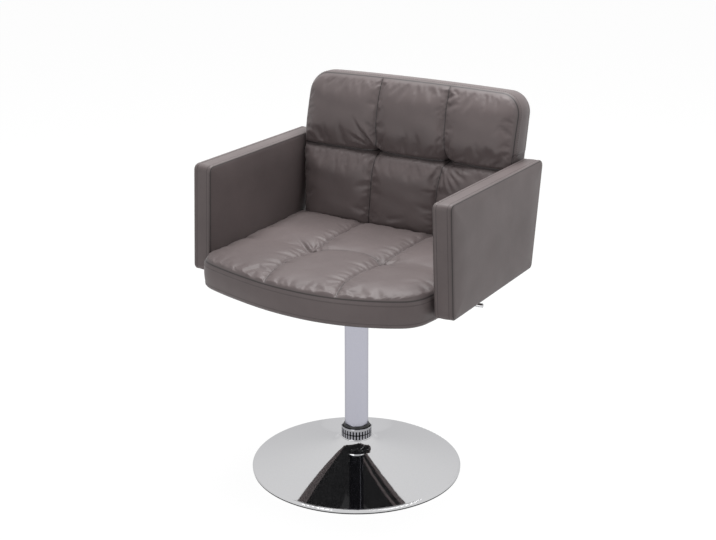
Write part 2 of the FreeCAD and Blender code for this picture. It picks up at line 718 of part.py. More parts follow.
piece(piston_rod(), "piston_rod")
piece(ring("rod_clip", "rod_radius - groove_depth", "clip_radius", CLIP_BOTTOM, CLIP_TOP), "rod_clip")
CYLINDER_BORE = "cylinder_radius - cylinder_wall"
piece(rod("piston_head", CYLINDER_BORE + " - fit_gap", "piston_height", z=PISTON_BOTTOM), "piston_head")
piece(ring("cylinder_gland", "rod_radius + fit_gap", CYLINDER_BORE + " - fit_gap", CYLINDER_BOTTOM,
           GLAND_TOP), "cylinder_gland")
piece(turned("gas_cylinder", (
    (CYLINDER_BORE, CYLINDER_BOTTOM),
    ("cylinder_radius", CYLINDER_BOTTOM),
    ("cylinder_radius", SOCKET_BOTTOM),
    ("cylinder_radius - taper_drop", SOCKET_TOP),
    ("cylinder_radius - taper_drop", CYLINDER_TOP),
    ("pin_radius + fit_gap", CYLINDER_TOP),
    ("pin_radius + fit_gap", CYLINDER_TOP + " - cylinder_cap"),
    (CYLINDER_BORE, CYLINDER_TOP + " - cylinder_cap"),
)), "gas_cylinder")
piece(rod("valve_pin", "pin_radius", "pin_above + pin_inside", z=CYLINDER_TOP + " - pin_inside"),
      "valve_pin")


# The seat plate and its lever

piece(turned("taper_socket", (
    ("cylinder_radius + fit_gap / 2", SOCKET_BOTTOM),
    ("socket_radius", SOCKET_BOTTOM),
    ("socket_radius", SOCKET_TOP),
    ("cylinder_radius + fit_gap / 2 - taper_drop", SOCKET_TOP),
)), "taper_socket")

CHANNEL_BOTTOM = SOCKET_TOP + " - 2 * channel_floor"
CHANNEL_INNER = "channel_half - channel_floor"
FLANGE_BOTTOM = PLATE_TOP + " - channel_floor"


def minus(text):
    """The same distance on the other side of the axis."""
    return "0 - (%s)" % text


def seat_plate():
    """Steel channel along X that hangs under the seat, with a flange at each side."""
    right = (
        ("channel_half", CHANNEL_BOTTOM),
        ("channel_half", FLANGE_BOTTOM),
        ("plate_half", FLANGE_BOTTOM),
        ("plate_half", PLATE_TOP),
        (CHANNEL_INNER, PLATE_TOP),
        (CHANNEL_INNER, CHANNEL_BOTTOM + " + channel_floor"),
    )
    left = tuple((minus(across), up) for across, up in reversed(right))
    body = slab("seat_plate", "YZ_Plane", right + left, "channel_length", midplane=True)
    drill(body, "XY_Plane", [("0", "0", "socket_radius + fit_gap")])
    holes = [rod("plate_hole_%d" % number, "plate_screw_radius + fit_gap", "2 * channel_half", x, y,
                 FLANGE_BOTTOM + " - channel_half") for number, (x, y) in enumerate(plate_spots())]
    bore = rod("plate_pivot_bore", "pivot_radius + fit_gap", "2 * plate_half", "lever_pivot",
               "0 - plate_half", LEVER_HEIGHT, axis="Y")
    return cut("seat_plate", body, holes + [bore])


def plate_spots():
    """Places of the four screws of the seat plate."""
    return [(x, y) for x in ("plate_screw_x", minus("plate_screw_x"))
            for y in ("plate_screw_y", minus("plate_screw_y"))]


def plate_screws():
    length = "channel_floor + cover_thickness + board_thickness - nut_flange - plate_screw_radius"
    start = FLANGE_BOTTOM + " - plate_screw_head_height"
    screws = [screw("plate_screw_%d" % number, "plate_screw_radius", length, "plate_screw_head",
                    "plate_screw_head_height", x, y, start)
              for number, (x, y) in enumerate(plate_spots())]
    return grouped("plate_screws_group", screws)


def tee_nuts():
    """Threaded barrels sunk into the seat board from above."""
    nuts = []
    for number, (x, y) in enumerate(plate_spots()):
        nut = turned("tee_nut_%d" % number, (
            ("plate_screw_radius + fit_gap", COVER_TOP + " + plate_screw_radius"),
            ("nut_radius", COVER_TOP + " + plate_screw_radius"),
            ("nut_radius", BOARD_TOP + " - nut_flange"),
            ("nut_flange_radius", BOARD_TOP + " - nut_flange"),
            ("nut_flange_radius", BOARD_TOP),
            ("plate_screw_radius + fit_gap", BOARD_TOP),
        ))
        nuts.append(place(nut, x, y))
    return grouped("tee_nuts_group", nuts)


piece(seat_plate(), "seat_plate")
piece(plate_screws(), "plate_screws")
piece(tee_nuts(), "plate_tee_nuts")


def lever_pin():
    """Headed pin across the channel that the lever tips about."""
    reach = "channel_half + seat_gap"
    pin = rod("lever_pin_shank", "pivot_radius", "2 * (%s)" % reach, "lever_pivot",
              minus(reach), LEVER_HEIGHT, axis="Y")
    heads = []
    for side, start in ((0, minus("%s + pivot_head_height" % reach)), (1, reach)):
        heads.append(rod("lever_pin_head_%d" % side, "pivot_head", "pivot_head_height",
                         "lever_pivot", start, LEVER_HEIGHT, axis="Y"))
    return joined("lever_pin_whole", [pin] + heads)


def lever_rod():
    """Round rod over the valve pin, out to the right and bent a little to the rear."""
    body = new_body("lever_rod")
    route = new_sketch(body, "XY_Plane", "Route")
    route.setExpression("AttachmentOffset.Base.z", bound(LEVER_HEIGHT))
    spots = (
        (minus("lever_inner"), "0"),
        ("lever_bend", "0"),
        ("lever_tip", "lever_tip_back"),
    )
    lines = []
    for first, second in zip(spots, spots[1:]):
        start = vector(value(first[0]), value(first[1]))
        end = vector(value(second[0]), value(second[1]))
        lines.append(route.addGeometry(Part.LineSegment(start, end)))
    route.addConstraint(Sketcher.Constraint("Coincident", lines[0], 2, lines[1], 1))
    for line, corner, spot in ((lines[0], 1, spots[0]), (lines[0], 2, spots[1]), (lines[1], 2, spots[2])):
        pin_point(route, line, corner, *spot)
    section = new_sketch(body, "YZ_Plane", "Section")
    draw_circle(section, "0", LEVER_HEIGHT, "lever_radius")
    section.setExpression("AttachmentOffset.Base.z", bound(minus("lever_inner")))
    pipe = body.newObject("PartDesign::AdditivePipe", "lever_rod_Pipe")
    pipe.Profile = section
    pipe.Spine = (route, ["Edge1", "Edge2"])
    pipe.Transition = "Round corner"
    document.recompute()
    bore = rod("lever_bore", "pivot_radius + fit_gap", "4 * lever_radius", "lever_pivot",
               "0 - 2 * lever_radius", LEVER_HEIGHT, axis="Y")
    return cut("lever_rod", body, [bore])


piece(lever_pin(), "lever_pin")
piece(lever_rod(), "lever_rod")


# The seat

def bow_radius(inset="0"):
    """Radius of the front bow, drawn in by the inset."""
    half = "(seat_bow_half - (%s))" % inset
    return "(%s ^ 2 + seat_bow ^ 2) / (2 * seat_bow)" % half


def rear_line(height):
    """Y of the back's rear face at a height."""
    rise = height - value("back_foot")
    return value("back_foot_line") + rise * math.tan(math.radians(value("back_lean_degrees")))


def board_rear():
    """Y of the seat board's rear edge, just ahead of the back board's face."""
    depth = value("rear_panel + back_board") / math.cos(math.radians(value("back_lean_degrees")))
    return rear_line(value(COVER_TOP)) - depth - value("seat_gap")


def seat_outline(inset):
    """Plan of a flat piece inside the seat: straight sides, bowed front, cut corners."""
    side = "seat_half - (%s)" % inset
    bow_half = "seat_bow_half - (%s)" % inset
    corner = minus("seat_front - seat_bow - (%s)" % inset)
    rear = "%.4f" % board_rear()
    points = (
        (side, rear),
        (minus(side), rear),
        (minus(side), corner + " + seat_corner"),
        (minus(bow_half), corner),
        (bow_half, corner),
        (side, corner + " + seat_corner"),
    )
    return points, {3: (bow_radius(inset), 1)}


def seat_slab(name, inset, bottom, thickness):
    """Flat piece with the seat's plan, raised to its height."""
    points, arcs = seat_outline(inset)
    body = slab(name, "XY_Plane", points, thickness, arcs)
    return place(body, z=bottom)


def seat_board():
    """Plywood board that carries the seat, bored for its tee nuts."""
    body = seat_slab("seat_board", "board_inset", COVER_TOP, "board_thickness")
    holes = []
    for number, (x, y) in enumerate(plate_spots()):
        holes.append(rod("board_hole_%d" % number, "nut_radius + fit_gap", "2 * board_thickness",
                         x, y, COVER_TOP + " - board_thickness / 2"))
        holes.append(rod("board_sink_%d" % number, "nut_flange_radius + fit_gap", "board_thickness",
                         x, y, BOARD_TOP + " - nut_flange"))
    for number, (x, y) in enumerate(bracket_seat_spots()):
        holes.append(rod("board_pilot_%d" % number, "bracket_screw_radius + fit_gap",
                         "bracket_screw_length + seat_gap", x, y, COVER_TOP))
    return cut("seat_board", body, holes)


def underside_cover():
    """Thin black cloth stapled under the seat board."""
    body = seat_slab("underside_cover", "board_inset", PLATE_TOP, "cover_thickness")
    holes = [rod("cover_hole_%d" % number, "plate_screw_radius + seat_gap", "4 * cover_thickness", x, y,
                 PLATE_TOP + " - 2 * cover_thickness") for number, (x, y) in enumerate(plate_spots())]
    for number, (x, y) in enumerate(bracket_seat_spots()):
        holes.append(rod("cover_pilot_%d" % number, "bracket_screw_radius + seat_gap",
                         "4 * cover_thickness", x, y, PLATE_TOP + " - 2 * cover_thickness"))
    return cut("underside_cover", body, holes)


def bracket_seat_spots():
    """Places of the screws that hold the back brackets to the seat board."""
    ahead = "back_foot_line - rear_panel - bracket_reach"
    return [(x, ahead + " + " + step) for x in ("bracket_place", minus("bracket_place"))
            for step in ("bracket_screw_first", "bracket_screw_second")]


RAIL_OUTER = "seat_half - board_inset - seat_gap"


def arm_bolt_spots():
    return ("0 - arm_bolt_front", "arm_bolt_rear")


def outward(side):
    """Axis name of the direction away from the middle on one side."""
    return "X" if side > 0 else "-X"


def at_side(side, text):
    return text if side > 0 else minus(text)


def seat_rail(side):
    """Wooden batten along one side of the seat board, bored and sunk for the arm bolts."""
    word = "right" if side > 0 else "left"
    start = RAIL_OUTER + " - rail_width" if side > 0 else minus(RAIL_OUTER)
    block = box("rail_block_" + word, "rail_width", "rail_front + rail_rear", "rail_height",
                start, "0 - rail_front", BOARD_TOP)
    holes = []
    for number, y in enumerate(arm_bolt_spots()):
        holes.append(rod("rail_hole_%s_%d" % (word, number), "arm_bolt_radius + fit_gap",
                         "2 * rail_width", at_side(side, RAIL_OUTER + " - 1.5 * rail_width"), y,
                         "arm_bolt_height", axis=outward(side)))
        holes.append(rod("rail_sink_%s_%d" % (word, number), "arm_bolt_head + fit_gap",
                         "arm_bolt_head_height + rail_width",
                         at_side(side, RAIL_OUTER + " - 2 * rail_width"), y,
                         "arm_bolt_height", axis=outward(side)))
    return cut("seat_rail_" + word, block, holes)


def arm_bolts(side):
    """Bolts from the rail's sunk holes out into the arm's board."""
    word = "right" if side > 0 else "left"
    head_start = RAIL_OUTER + " - rail_width"
    bolts = []
    for number, y in enumerate(arm_bolt_spots()):
        name = "arm_bolt_%s_%d" % (word, number)
        head = rod(name + "_head", "arm_bolt_head", "arm_bolt_head_height",
                   at_side(side, head_start), y, "arm_bolt_height", axis=outward(side))
        shank = rod(name + "_shank", "arm_bolt_radius", "arm_bolt_length + arm_bolt_head_height / 2",
                    at_side(side, head_start + " + arm_bolt_head_height / 2"), y, "arm_bolt_height",
                    axis=outward(side))
        bolts.append(joined(name, [head, shank]))
    return grouped("arm_bolts_" + word, bolts)


NUT_START = RAIL_OUTER + " - rail_width + arm_bolt_length + arm_bolt_head_height - arm_nut_length"


def arm_inserts(side):
    """Threaded sleeves in the arm's board, one for each bolt."""
    word = "right" if side > 0 else "left"
    sleeves = []
    for number, y in enumerate(arm_bolt_spots()):
        name = "arm_insert_%s_%d" % (word, number)
        start = at_side(side, NUT_START)
        outer = rod(name + "_outer", "arm_nut_radius", "arm_nut_length", start, y,
                    "arm_bolt_height", axis=outward(side))
        bore = rod(name + "_bore", "arm_bolt_radius + fit_gap", "arm_nut_length * 1.5", start, y,
                   "arm_bolt_height", axis=outward(side))
        sleeves.append(cut(name, outer, [bore]))
    return grouped("arm_inserts_" + word, sleeves)


def column_swell(across, edge):
    """0 on a lengthwise seam or an outer edge, 1 midway between two of them."""
    seam = value("seam_offset")
    distance = abs(across)
    if distance <= seam:
        return math.cos(math.pi * distance / (2 * seam))
    return math.sin(math.pi * min((distance - seam) / (edge - seam), 1.0))


def tuft_share(across, edge):
    """1 at a lengthwise seam, falling to 0 at the outer edge and midway between seams."""
    seam = value("seam_offset")
    distance = abs(across)
    if distance <= seam:
        return 1.0 - column_swell(across, edge)
    return max(0.0, 1.0 - column_swell(across, edge) - (distance - seam) / (edge - seam))


def seat_front_line(across):
    """Y of the cushion's front, by distance from the middle."""
    half = value("seat_bow_half")
    depth = value("seat_bow")
    radius = (half * half + depth * depth) / (2 * depth)
    front = -value("seat_front") + radius - math.sqrt(radius * radius - across * across)
    past = abs(across) - half
    if past > 0:
        width = value("seat_half") - half
        front += value("seat_corner") * (1 - math.sqrt(max(0.0, 1 - (past / width) ** 2)))
    return front


def back_bulge(swell, height):
    """Y of the back's lower panels at one height, for a given swell."""
    low = value("back_bottom")
    middle = (value("back_cross_seam") + low) / 2
    reach = (value("back_cross_seam") - low) / 2
    rise = 1 - ((height - middle) / reach) ** 2
    return value("back_line") - swell * max(0.0, rise)


def swell_between(low, high, across, edge):
    return value(low) + (value(high) - value(low)) * column_swell(across, edge)


def arc_edge(start, middle, end):
    return Part.Arc(start, middle, end).toShape()


def seat_section(across):
    """Closed wire of the cushion's upright section at one distance from the middle."""
    bottom = value("seat_bottom")
    edge = value("seat_edge")
    front = seat_front_line(across)
    half = value("seat_half")
    swell = swell_between("back_bulge_edge", "back_bulge_low", across, half)
    rear = back_bulge(swell, edge) - value("cushion_gap")
    tuft_line = -value("tuft_place")
    seam = edge + value("seat_rise") * column_swell(across, half)
    seam -= value("tuft_dip") * tuft_share(across, half)
    crown = swell_between("seat_crown_edge", "seat_crown", across, half)
    bulge = value("seat_boxing_bulge")
    low_front = FreeCAD.Vector(across, front, bottom)
    top_front = FreeCAD.Vector(across, front, edge)
    tuft = FreeCAD.Vector(across, tuft_line, seam)
    top_rear = FreeCAD.Vector(across, rear, edge)
    low_rear = FreeCAD.Vector(across, rear, bottom)
    box_middle = FreeCAD.Vector(across, front - bulge, (bottom + edge) / 2)
    front_crown = (top_front + tuft) * 0.5 + FreeCAD.Vector(0, 0, crown)
    rear_crown = (tuft + top_rear) * 0.5 + FreeCAD.Vector(0, 0, crown)
    edges = [
        arc_edge(low_front, box_middle, top_front),
        arc_edge(top_front, front_crown, tuft),
        arc_edge(tuft, rear_crown, top_rear),
        Part.LineSegment(top_rear, low_rear).toShape(),
        Part.LineSegment(low_rear, low_front).toShape(),
    ]
    return Part.Wire(edges)


def lofted(stations, section):
    """Solid through upright sections at the given distances from the middle."""
    return Part.makeLoft([section(across) for across in stations], True, False)


def mirrored(shape):
    return shape.mirror(vector(0, 0), vector(1, 0))


def even_steps(start, end, count):
    return [start + (end - start) * number / count for number in range(count + 1)]


MIDDLE_STEPS = 6
OUTER_STEPS = 4
CORNER_TURNS = (0, 30, 55, 75)


def soft_block(name, section, corner_start, half, side_trim):
    """Three swelling panels side by side: a middle one and two outer ones."""
    seam = value("seam_offset")
    middle = lofted(even_steps(-seam, seam, MIDDLE_STEPS), section)
    outer = lofted(even_steps(seam, corner_start, OUTER_STEPS), section)
    reach = half - corner_start
    turns = [corner_start + reach * math.sin(math.radians(turn)) for turn in CORNER_TURNS]
    corner = lofted(turns + [half - side_trim], section)
    side = outer.fuse(corner)
    whole = middle.fuse([side, mirrored(side)])
    feature = document.addObject("Part::Feature", name)
    feature.Shape = whole.removeSplitter()
    return feature


def seat_cushion():
    """Foam and leather cushion, hollow underneath for the board and its rails."""
    block = soft_block("seat_cushion_block", seat_section, value("seat_bow_half"),
                       value("seat_half"), value("seat_side_trim"))
    tools = [seat_slab("cushion_board_room", "board_inset - seat_gap", "seat_bottom - board_thickness",
                       "board_thickness * 2 + seat_gap * 2 + cover_thickness")]
    for side in (1, -1):
        word = "right" if side > 0 else "left"
        start = RAIL_OUTER + " - rail_width - seat_gap"
        if side < 0:
            start = minus(RAIL_OUTER + " + seat_gap / 2")
        tools.append(box("cushion_rail_room_" + word, "rail_width + 1.5 * seat_gap",
                         "rail_front + rail_rear + 2 * seat_gap", "rail_height + seat_gap", start,
                         "0 - rail_front - seat_gap", BOARD_TOP))
        for number, y in enumerate(arm_bolt_spots()):
            tools.append(rod("cushion_bolt_room_%s_%d" % (word, number),
                             "arm_bolt_radius + seat_gap", "board_inset * 4",
                             at_side(side, RAIL_OUTER + " - board_inset"), y, "arm_bolt_height",
                             axis=outward(side)))
    return cut("seat_cushion", block, tools)


piece(seat_board(), "seat_board")
piece(underside_cover(), "underside_cover")
for hand, word in ((-1, "left"), (1, "right")):
    piece(seat_rail(hand), "seat_rail_" + word)
piece(seat_cushion(), "seat_cushion")


# The back

def back_top_height(across):
    """Height of the back's top seam, with its crown and rounded corners."""
    half = value(BACK_HALF)
    radius = value("back_corner")
    height = value("back_top") - value("back_top_crown") * (across / half) ** 2
    past = abs(across) - (half - radius)
    if past > 0:
        height -= radius - math.sqrt(max(0.0, radius ** 2 - past ** 2))
    return height


def back_section(across):
    """Closed wire of the back's upright section at one distance from the middle."""
    bottom = value("back_bottom")
    cross = value("back_cross_seam")
    line = value("back_line")
    top = back_top_height(across)
    lean = (top - value("back_shoulder")) / (value("back_top") - value("back_shoulder"))
    top_line = line + (value("back_top_line") - line) * max(0.0, lean)
    half = value(BACK_HALF)
    low_swell = swell_between("back_bulge_edge", "back_bulge_low", across, half)
    high_swell = swell_between("back_bulge_edge", "back_bulge_high", across, half)
    cross_line = line - value("back_seam_rise") * column_swell(across, half)
    foot = FreeCAD.Vector(across, line, bottom)
    seam = FreeCAD.Vector(across, cross_line, cross)
    crest = FreeCAD.Vector(across, top_line, top)
    rear_top = FreeCAD.Vector(across, rear_line(top), top - value("back_rear_drop"))
    rear_foot = FreeCAD.Vector(across, rear_line(bottom), bottom)
    low_middle = (foot + seam) * 0.5 - FreeCAD.Vector(0, low_swell, 0)
    high_middle = (seam + crest) * 0.5 - FreeCAD.Vector(0, high_swell, 0)
    edges = [
        arc_edge(foot, low_middle, seam),
        arc_edge(seam, high_middle, crest),
        Part.LineSegment(crest, rear_top).toShape(),
        Part.LineSegment(rear_top, rear_foot).toShape(),
        Part.LineSegment(rear_foot, foot).toShape(),
    ]
    return Part.Wire(edges)


def lean_placement(thing, depth):
    """Lay a piece drawn in an upright plane against the back's leaning rear plane."""
    spin = FreeCAD.Rotation(vector(1, 0), -value("back_lean_degrees"))
    forward = spin.multVec(vector(0, -1)) * value(depth)
    thing.Placement = FreeCAD.Placement(
        vector(0, value("back_foot_line"), value("back_foot")) + forward, spin)
    return thing


def back_slab(name, depth, thickness, inset, drop):
    """Board shaped like the back, with rounded upper corners, against its rear plane."""
    side = "%s - (%s)" % (BACK_HALF, inset)
    top = "%s - (%s)" % (back_length_text(), inset)
    turn = "back_corner - (%s) / 2" % inset
    points = (
        (side, drop),
        (side, "%s - (%s)" % (top, turn)),
        ("%s - (%s)" % (side, turn), top),
        (minus("%s - (%s)" % (side, turn)), top),
        (minus(side), "%s - (%s)" % (top, turn)),
        (minus(side), drop),
    )
    body = slab(name, "XZ_Plane", points, thickness, {1: (turn, 1), 3: (turn, 1)})
    return lean_placement(body, depth)


def back_length_text():
    """Length of the back's rear face from its foot, along the lean."""
    return "(back_top - back_foot - back_top_crown) * %.6f" % (
        1.0 / math.cos(math.radians(value("back_lean_degrees"))))


def back_bracket(side):
    """Steel strap bent up from under the seat board behind the back board."""
    word = "right" if side > 0 else "left"
    lean = math.radians(value("back_lean_degrees"))
    top_low = value(PLATE_TOP)
    thick = value("bracket_thickness")
    depth = value("rear_panel")
    shift = depth / math.cos(lean)
    front_low = rear_line(top_low) - shift
    high = top_low + value("bracket_rise")
    front_high = rear_line(high) - shift
    rear_shift = thick / math.cos(lean)
    low = top_low - thick
    ahead = value("back_foot_line") - value("rear_panel") - value("bracket_reach")
    corners = (
        (ahead, low),
        (rear_line(low) - shift + rear_shift, low),
        (front_high + rear_shift, high),
        (front_high, high),
        (front_low, top_low),
        (ahead, top_low),
    )
    body = new_body("back_bracket_" + word)
    sketch = new_sketch(body, "YZ_Plane")
    draw_outline(sketch, corners)
    extrude(body, sketch, "bracket_width", midplane=True)
    return place(body, x=at_side(side, "bracket_place"))


def back_pad():
    """Foam and leather pad of the back, hollow at the rear for the board and rear panel."""
    block = soft_block("back_pad_block", back_section, value(BACK_HALF + " - back_corner"),
                       value(BACK_HALF), value("back_side_trim"))
    room = back_slab("back_pad_room", "0 - rear_panel", "2 * rear_panel + back_board + seat_gap",
                     "rear_inset - seat_gap", "0 - rear_panel")
    return cut("back_pad", block, [room])


def lean_rod(name, radius, length, across, depth, height):
    """Round bar that starts at a depth behind the rear plane's face and runs forward."""
    bar = document.addObject("Part::Cylinder", name)
    bind(bar, Radius=radius, Height=length)
    spin = FreeCAD.Rotation(vector(1, 0), -value("back_lean_degrees"))
    start = spin.multVec(FreeCAD.Vector(value(across), -value(depth), height))
    foot = vector(0, value("back_foot_line"), value("back_foot"))
    forward = FreeCAD.Rotation(vector(1, 0), 90)
    bar.Placement = FreeCAD.Placement(foot + start, spin.multiply(forward))
    return bar


def lean_height(height):
    """Distance along the lean for a height above the floor."""
    return (height - value("back_foot")) / math.cos(math.radians(value("back_lean_degrees")))


def bracket_back_heights():
    """Heights of the two screws in each bracket's upright leg, along the lean."""
    upper = value(PLATE_TOP) + value("bracket_rise") - value("bracket_screw_drop")
    return [lean_height(upper), lean_height(upper - value("bracket_screw_apart"))]


def bracket_sides():
    return ("bracket_place", minus("bracket_place"))


def back_board():
    """Plywood board in the back, with pilot holes for the bracket screws."""
    lowest = value(PLATE_TOP + " + seat_gap") - value("back_foot")
    tilt = value("rear_panel") * math.sin(math.radians(value("back_lean_degrees")))
    drop = (lowest - tilt) / math.cos(math.radians(value("back_lean_degrees")))
    body = back_slab("back_board", "rear_panel", "back_board", "back_board_inset", "%.4f" % drop)
    holes = [lean_rod("back_pilot_%d_%d" % (row, column), "bracket_screw_radius + fit_gap",
                      "bracket_screw_length + rear_panel", x, "0", height)
             for row, x in enumerate(bracket_sides())
             for column, height in enumerate(bracket_back_heights())]
    return cut("back_board", body, holes)


def back_rear_panel():
    """Padded panel that closes the back's rear, hollowed for the brackets behind it."""
    body = back_slab("back_rear_panel", "0", "rear_panel", "rear_inset", "back_bottom - back_foot")
    top = lean_height(value(PLATE_TOP) + value("bracket_rise"))
    grooves = []
    for number, x in enumerate(bracket_sides()):
        points = (
            ("%s - bracket_width / 2 - seat_gap" % x, "0 - rear_panel"),
            ("%s + bracket_width / 2 + seat_gap" % x, "0 - rear_panel"),
            ("%s + bracket_width / 2 + seat_gap" % x, "%.4f + bracket_thickness" % top),
            ("%s - bracket_width / 2 - seat_gap" % x, "%.4f + bracket_thickness" % top),
        )
        groove = slab("rear_groove_%d" % number, "XZ_Plane", points, "2 * rear_panel")
        depth = "rear_panel - bracket_thickness - bracket_screw_head_height - seat_gap"
        grooves.append(lean_placement(groove, depth))
    return cut("back_rear_panel", body, grooves)


def drilled_bracket(side):
    """A bracket with holes for its two lower and two upper screws."""
    word = "right" if side > 0 else "left"
    strap = back_bracket(side)
    holes = []
    across = at_side(side, "bracket_place")
    for number, (x, y) in enumerate(bracket_seat_spots()):
        holes.append(rod("bracket_hole_%s_%d" % (word, number), "bracket_screw_radius + fit_gap",
                         "4 * bracket_thickness", x, y, PLATE_TOP + " - 2 * bracket_thickness"))
    for number, height in enumerate(bracket_back_heights()):
        holes.append(lean_rod("bracket_bore_%s_%d" % (word, number),
                              "bracket_screw_radius + fit_gap", "2 * rear_panel", across,
                              "0", height))
    return cut("back_bracket_" + word, strap, holes)


def bracket_screws():
    """Eight wood screws: two up into the seat board and two forward into the back board, each side."""
    screws = []
    start = PLATE_TOP + " - bracket_thickness - bracket_screw_head_height"
    length = "bracket_thickness + cover_thickness + bracket_screw_length"
    for number, (x, y) in enumerate(bracket_seat_spots()):
        screws.append(screw("seat_bracket_screw_%d" % number, "bracket_screw_radius", length,
                            "bracket_screw_head", "bracket_screw_head_height", x, y, start))
    depth = "rear_panel - bracket_thickness - bracket_screw_head_height"
    for row, x in enumerate(bracket_sides()):
        for column, height in enumerate(bracket_back_heights()):
            name = "back_bracket_screw_%d_%d" % (row, column)
            head = lean_rod(name + "_head", "bracket_screw_head", "bracket_screw_head_height",
                            x, depth, height)
            shank = lean_rod(name + "_shank", "bracket_screw_radius",
                             "bracket_screw_head_height + bracket_thickness + bracket_screw_length",
                             x, depth, height)
            screws.append(joined(name, [head, shank]))
    return grouped("bracket_screws_group", screws)


piece(back_pad(), "back_pad")
piece(back_board(), "back_board")
piece(back_rear_panel(), "back_rear_panel")
for hand, word in ((-1, "left"), (1, "right")):
    piece(drilled_bracket(hand), "back_bracket_" + word)
piece(bracket_screws(), "bracket_screws")


# The arms

def arm_outline(inset, foot):
    """Side view of an arm from its top edge down, drawn in by an inset and one at its foot."""
    return (
        ("0 - arm_front + (%s)" % inset, "0 - arm_height + (%s)" % foot),
        ("arm_rear_bottom - (%s)" % inset, "0 - arm_drop - arm_rear_height + (%s)" % foot),
        ("arm_rear_top - (%s)" % inset, "0 - arm_drop - (%s)" % inset),
        ("0 - arm_front + (%s)" % inset, "0 - (%s)" % inset),
    )


def arm_placement(thing, side, offset):
    """Stand a piece drawn in the arm's own plane on its side, splayed outward."""
    spin = FreeCAD.Rotation(vector(0, 1), -side * value("arm_splay_degrees"))
    start = vector(side * value(ARM_INNER), 0, value("arm_top"))
    shift = spin.multVec(vector(side * value(offset), 0))
    thing.Placement = FreeCAD.Placement(start + shift, spin)
    return thing


def arm_slab(name, side, offset, thickness, inset="0", foot="0"):
    body = slab(name, "YZ_Plane", arm_outline(inset, foot), thickness, reverse=side < 0)
    return arm_placement(body, side, offset)


def round_corners(body, radius):
    """Round the edges that run straight through the body's thickness."""
    document.recompute()
    base = body.Tip
    names = []
    for number, edge in enumerate(base.Shape.Edges, start=1):
        start, end = edge.Vertexes[0].Point, edge.Vertexes[-1].Point
        if abs(start.y - end.y) < 0.001 and abs(start.z - end.z) < 0.001:
            names.append("Edge%d" % number)
    fillet = body.newObject("PartDesign::Fillet", body.Name + "_Corners")
    fillet.Base = (base, names)
    bind(fillet, Radius=radius)
    body.Tip = fillet
    return fillet


def round_face(body, radius, side):
    """Round the rim of the body's outermost face."""
    document.recompute()
    base = body.Tip
    centres = [face.CenterOfMass.x * side for face in base.Shape.Faces]
    name = "Face%d" % (centres.index(max(centres)) + 1)
    fillet = body.newObject("PartDesign::Fillet", body.Name + "_Rim")
    fillet.Base = (base, [name])
    bind(fillet, Radius=radius)
    body.Tip = fillet
    return fillet


def bolt_room(name, side, radius):
    """Holes through an arm's piece for its two bolts."""
    word = "right" if side > 0 else "left"
    return [rod("%s_%s_%d" % (name, word, number), radius, "2 * arm_thickness",
                at_side(side, RAIL_OUTER), y, "arm_bolt_height", axis=outward(side))
            for number, y in enumerate(arm_bolt_spots())]


def arm_pad(side):
    """Upholstered outer part of an arm, hollow on its inner side for the board."""
    word = "right" if side > 0 else "left"
    body = arm_slab("arm_pad_" + word, side, "arm_panel", "arm_thickness - arm_panel")
    round_corners(body, "arm_corner")
    round_face(body, "arm_edge", side)
    room = arm_slab("arm_pad_room_" + word, side, "0", "arm_panel + arm_board + seat_gap",
                    "arm_board_inset - seat_gap", "arm_board_foot - seat_gap")
    return cut("arm_pad_" + word, body, [room])


def arm_board(side):
    """Plywood core of an arm, bored for the threaded sleeves."""
    word = "right" if side > 0 else "left"
    body = arm_slab("arm_board_" + word, side, "arm_panel", "arm_board", "arm_board_inset",
                    "arm_board_foot")
    return cut("arm_board_" + word, body, bolt_room("arm_board_hole", side, "arm_nut_radius + fit_gap"))


def arm_inner_panel(side):
    """Padded panel that closes the arm towards the seat."""
    word = "right" if side > 0 else "left"
    body = arm_slab("arm_inner_" + word, side, "0", "arm_panel")
    round_corners(body, "arm_corner")
    round_face(body, "arm_edge / 2", -side)
    return cut("arm_inner_" + word, body, bolt_room("arm_panel_hole", side, "arm_bolt_radius + seat_gap"))


for hand, word in ((-1, "left"), (1, "right")):
    piece(arm_pad(hand), "arm_pad_" + word)
    piece(arm_board(hand), "arm_board_" + word)
    piece(arm_inner_panel(hand), "arm_inner_panel_" + word)
    piece(arm_bolts(hand), "arm_bolts_" + word)
    piece(arm_inserts(hand), "arm_inserts_" + word)


def write_pieces():
    """Check every object of the document, then write each sub-part to its own file."""
    document.recompute()
    for thing in document.Objects:
        if "Invalid" in thing.State or "Error" in thing.State:
            raise ValueError("%s is %s" % (thing.Name, thing.State))
    os.makedirs("parts", exist_ok=True)
    for thing in PIECES:
        shape = thing.Shape
        if shape.isNull() or not shape.isValid() or not shape.Solids:
            raise ValueError("%s has no valid shape" % thing.Label)
    for thing in PIECES:
        thing.Shape.exportStep("parts/%s.step" % thing.Label)
        print("%-22s %3d solids %12.0f mm3" % (thing.Label, len(thing.Shape.Solids), thing.Shape.Volume))


write_pieces()
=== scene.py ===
"""Looks of an upholstered swivel dining chair on a round chrome trumpet base.

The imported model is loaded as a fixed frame. Its soft solids are replaced here by sewn and
padded surfaces, and every other piece gets its finish. Lengths are metres, +Z is up, the
sitter faces -Y, and the column's axis is the Z axis.
"""
import math

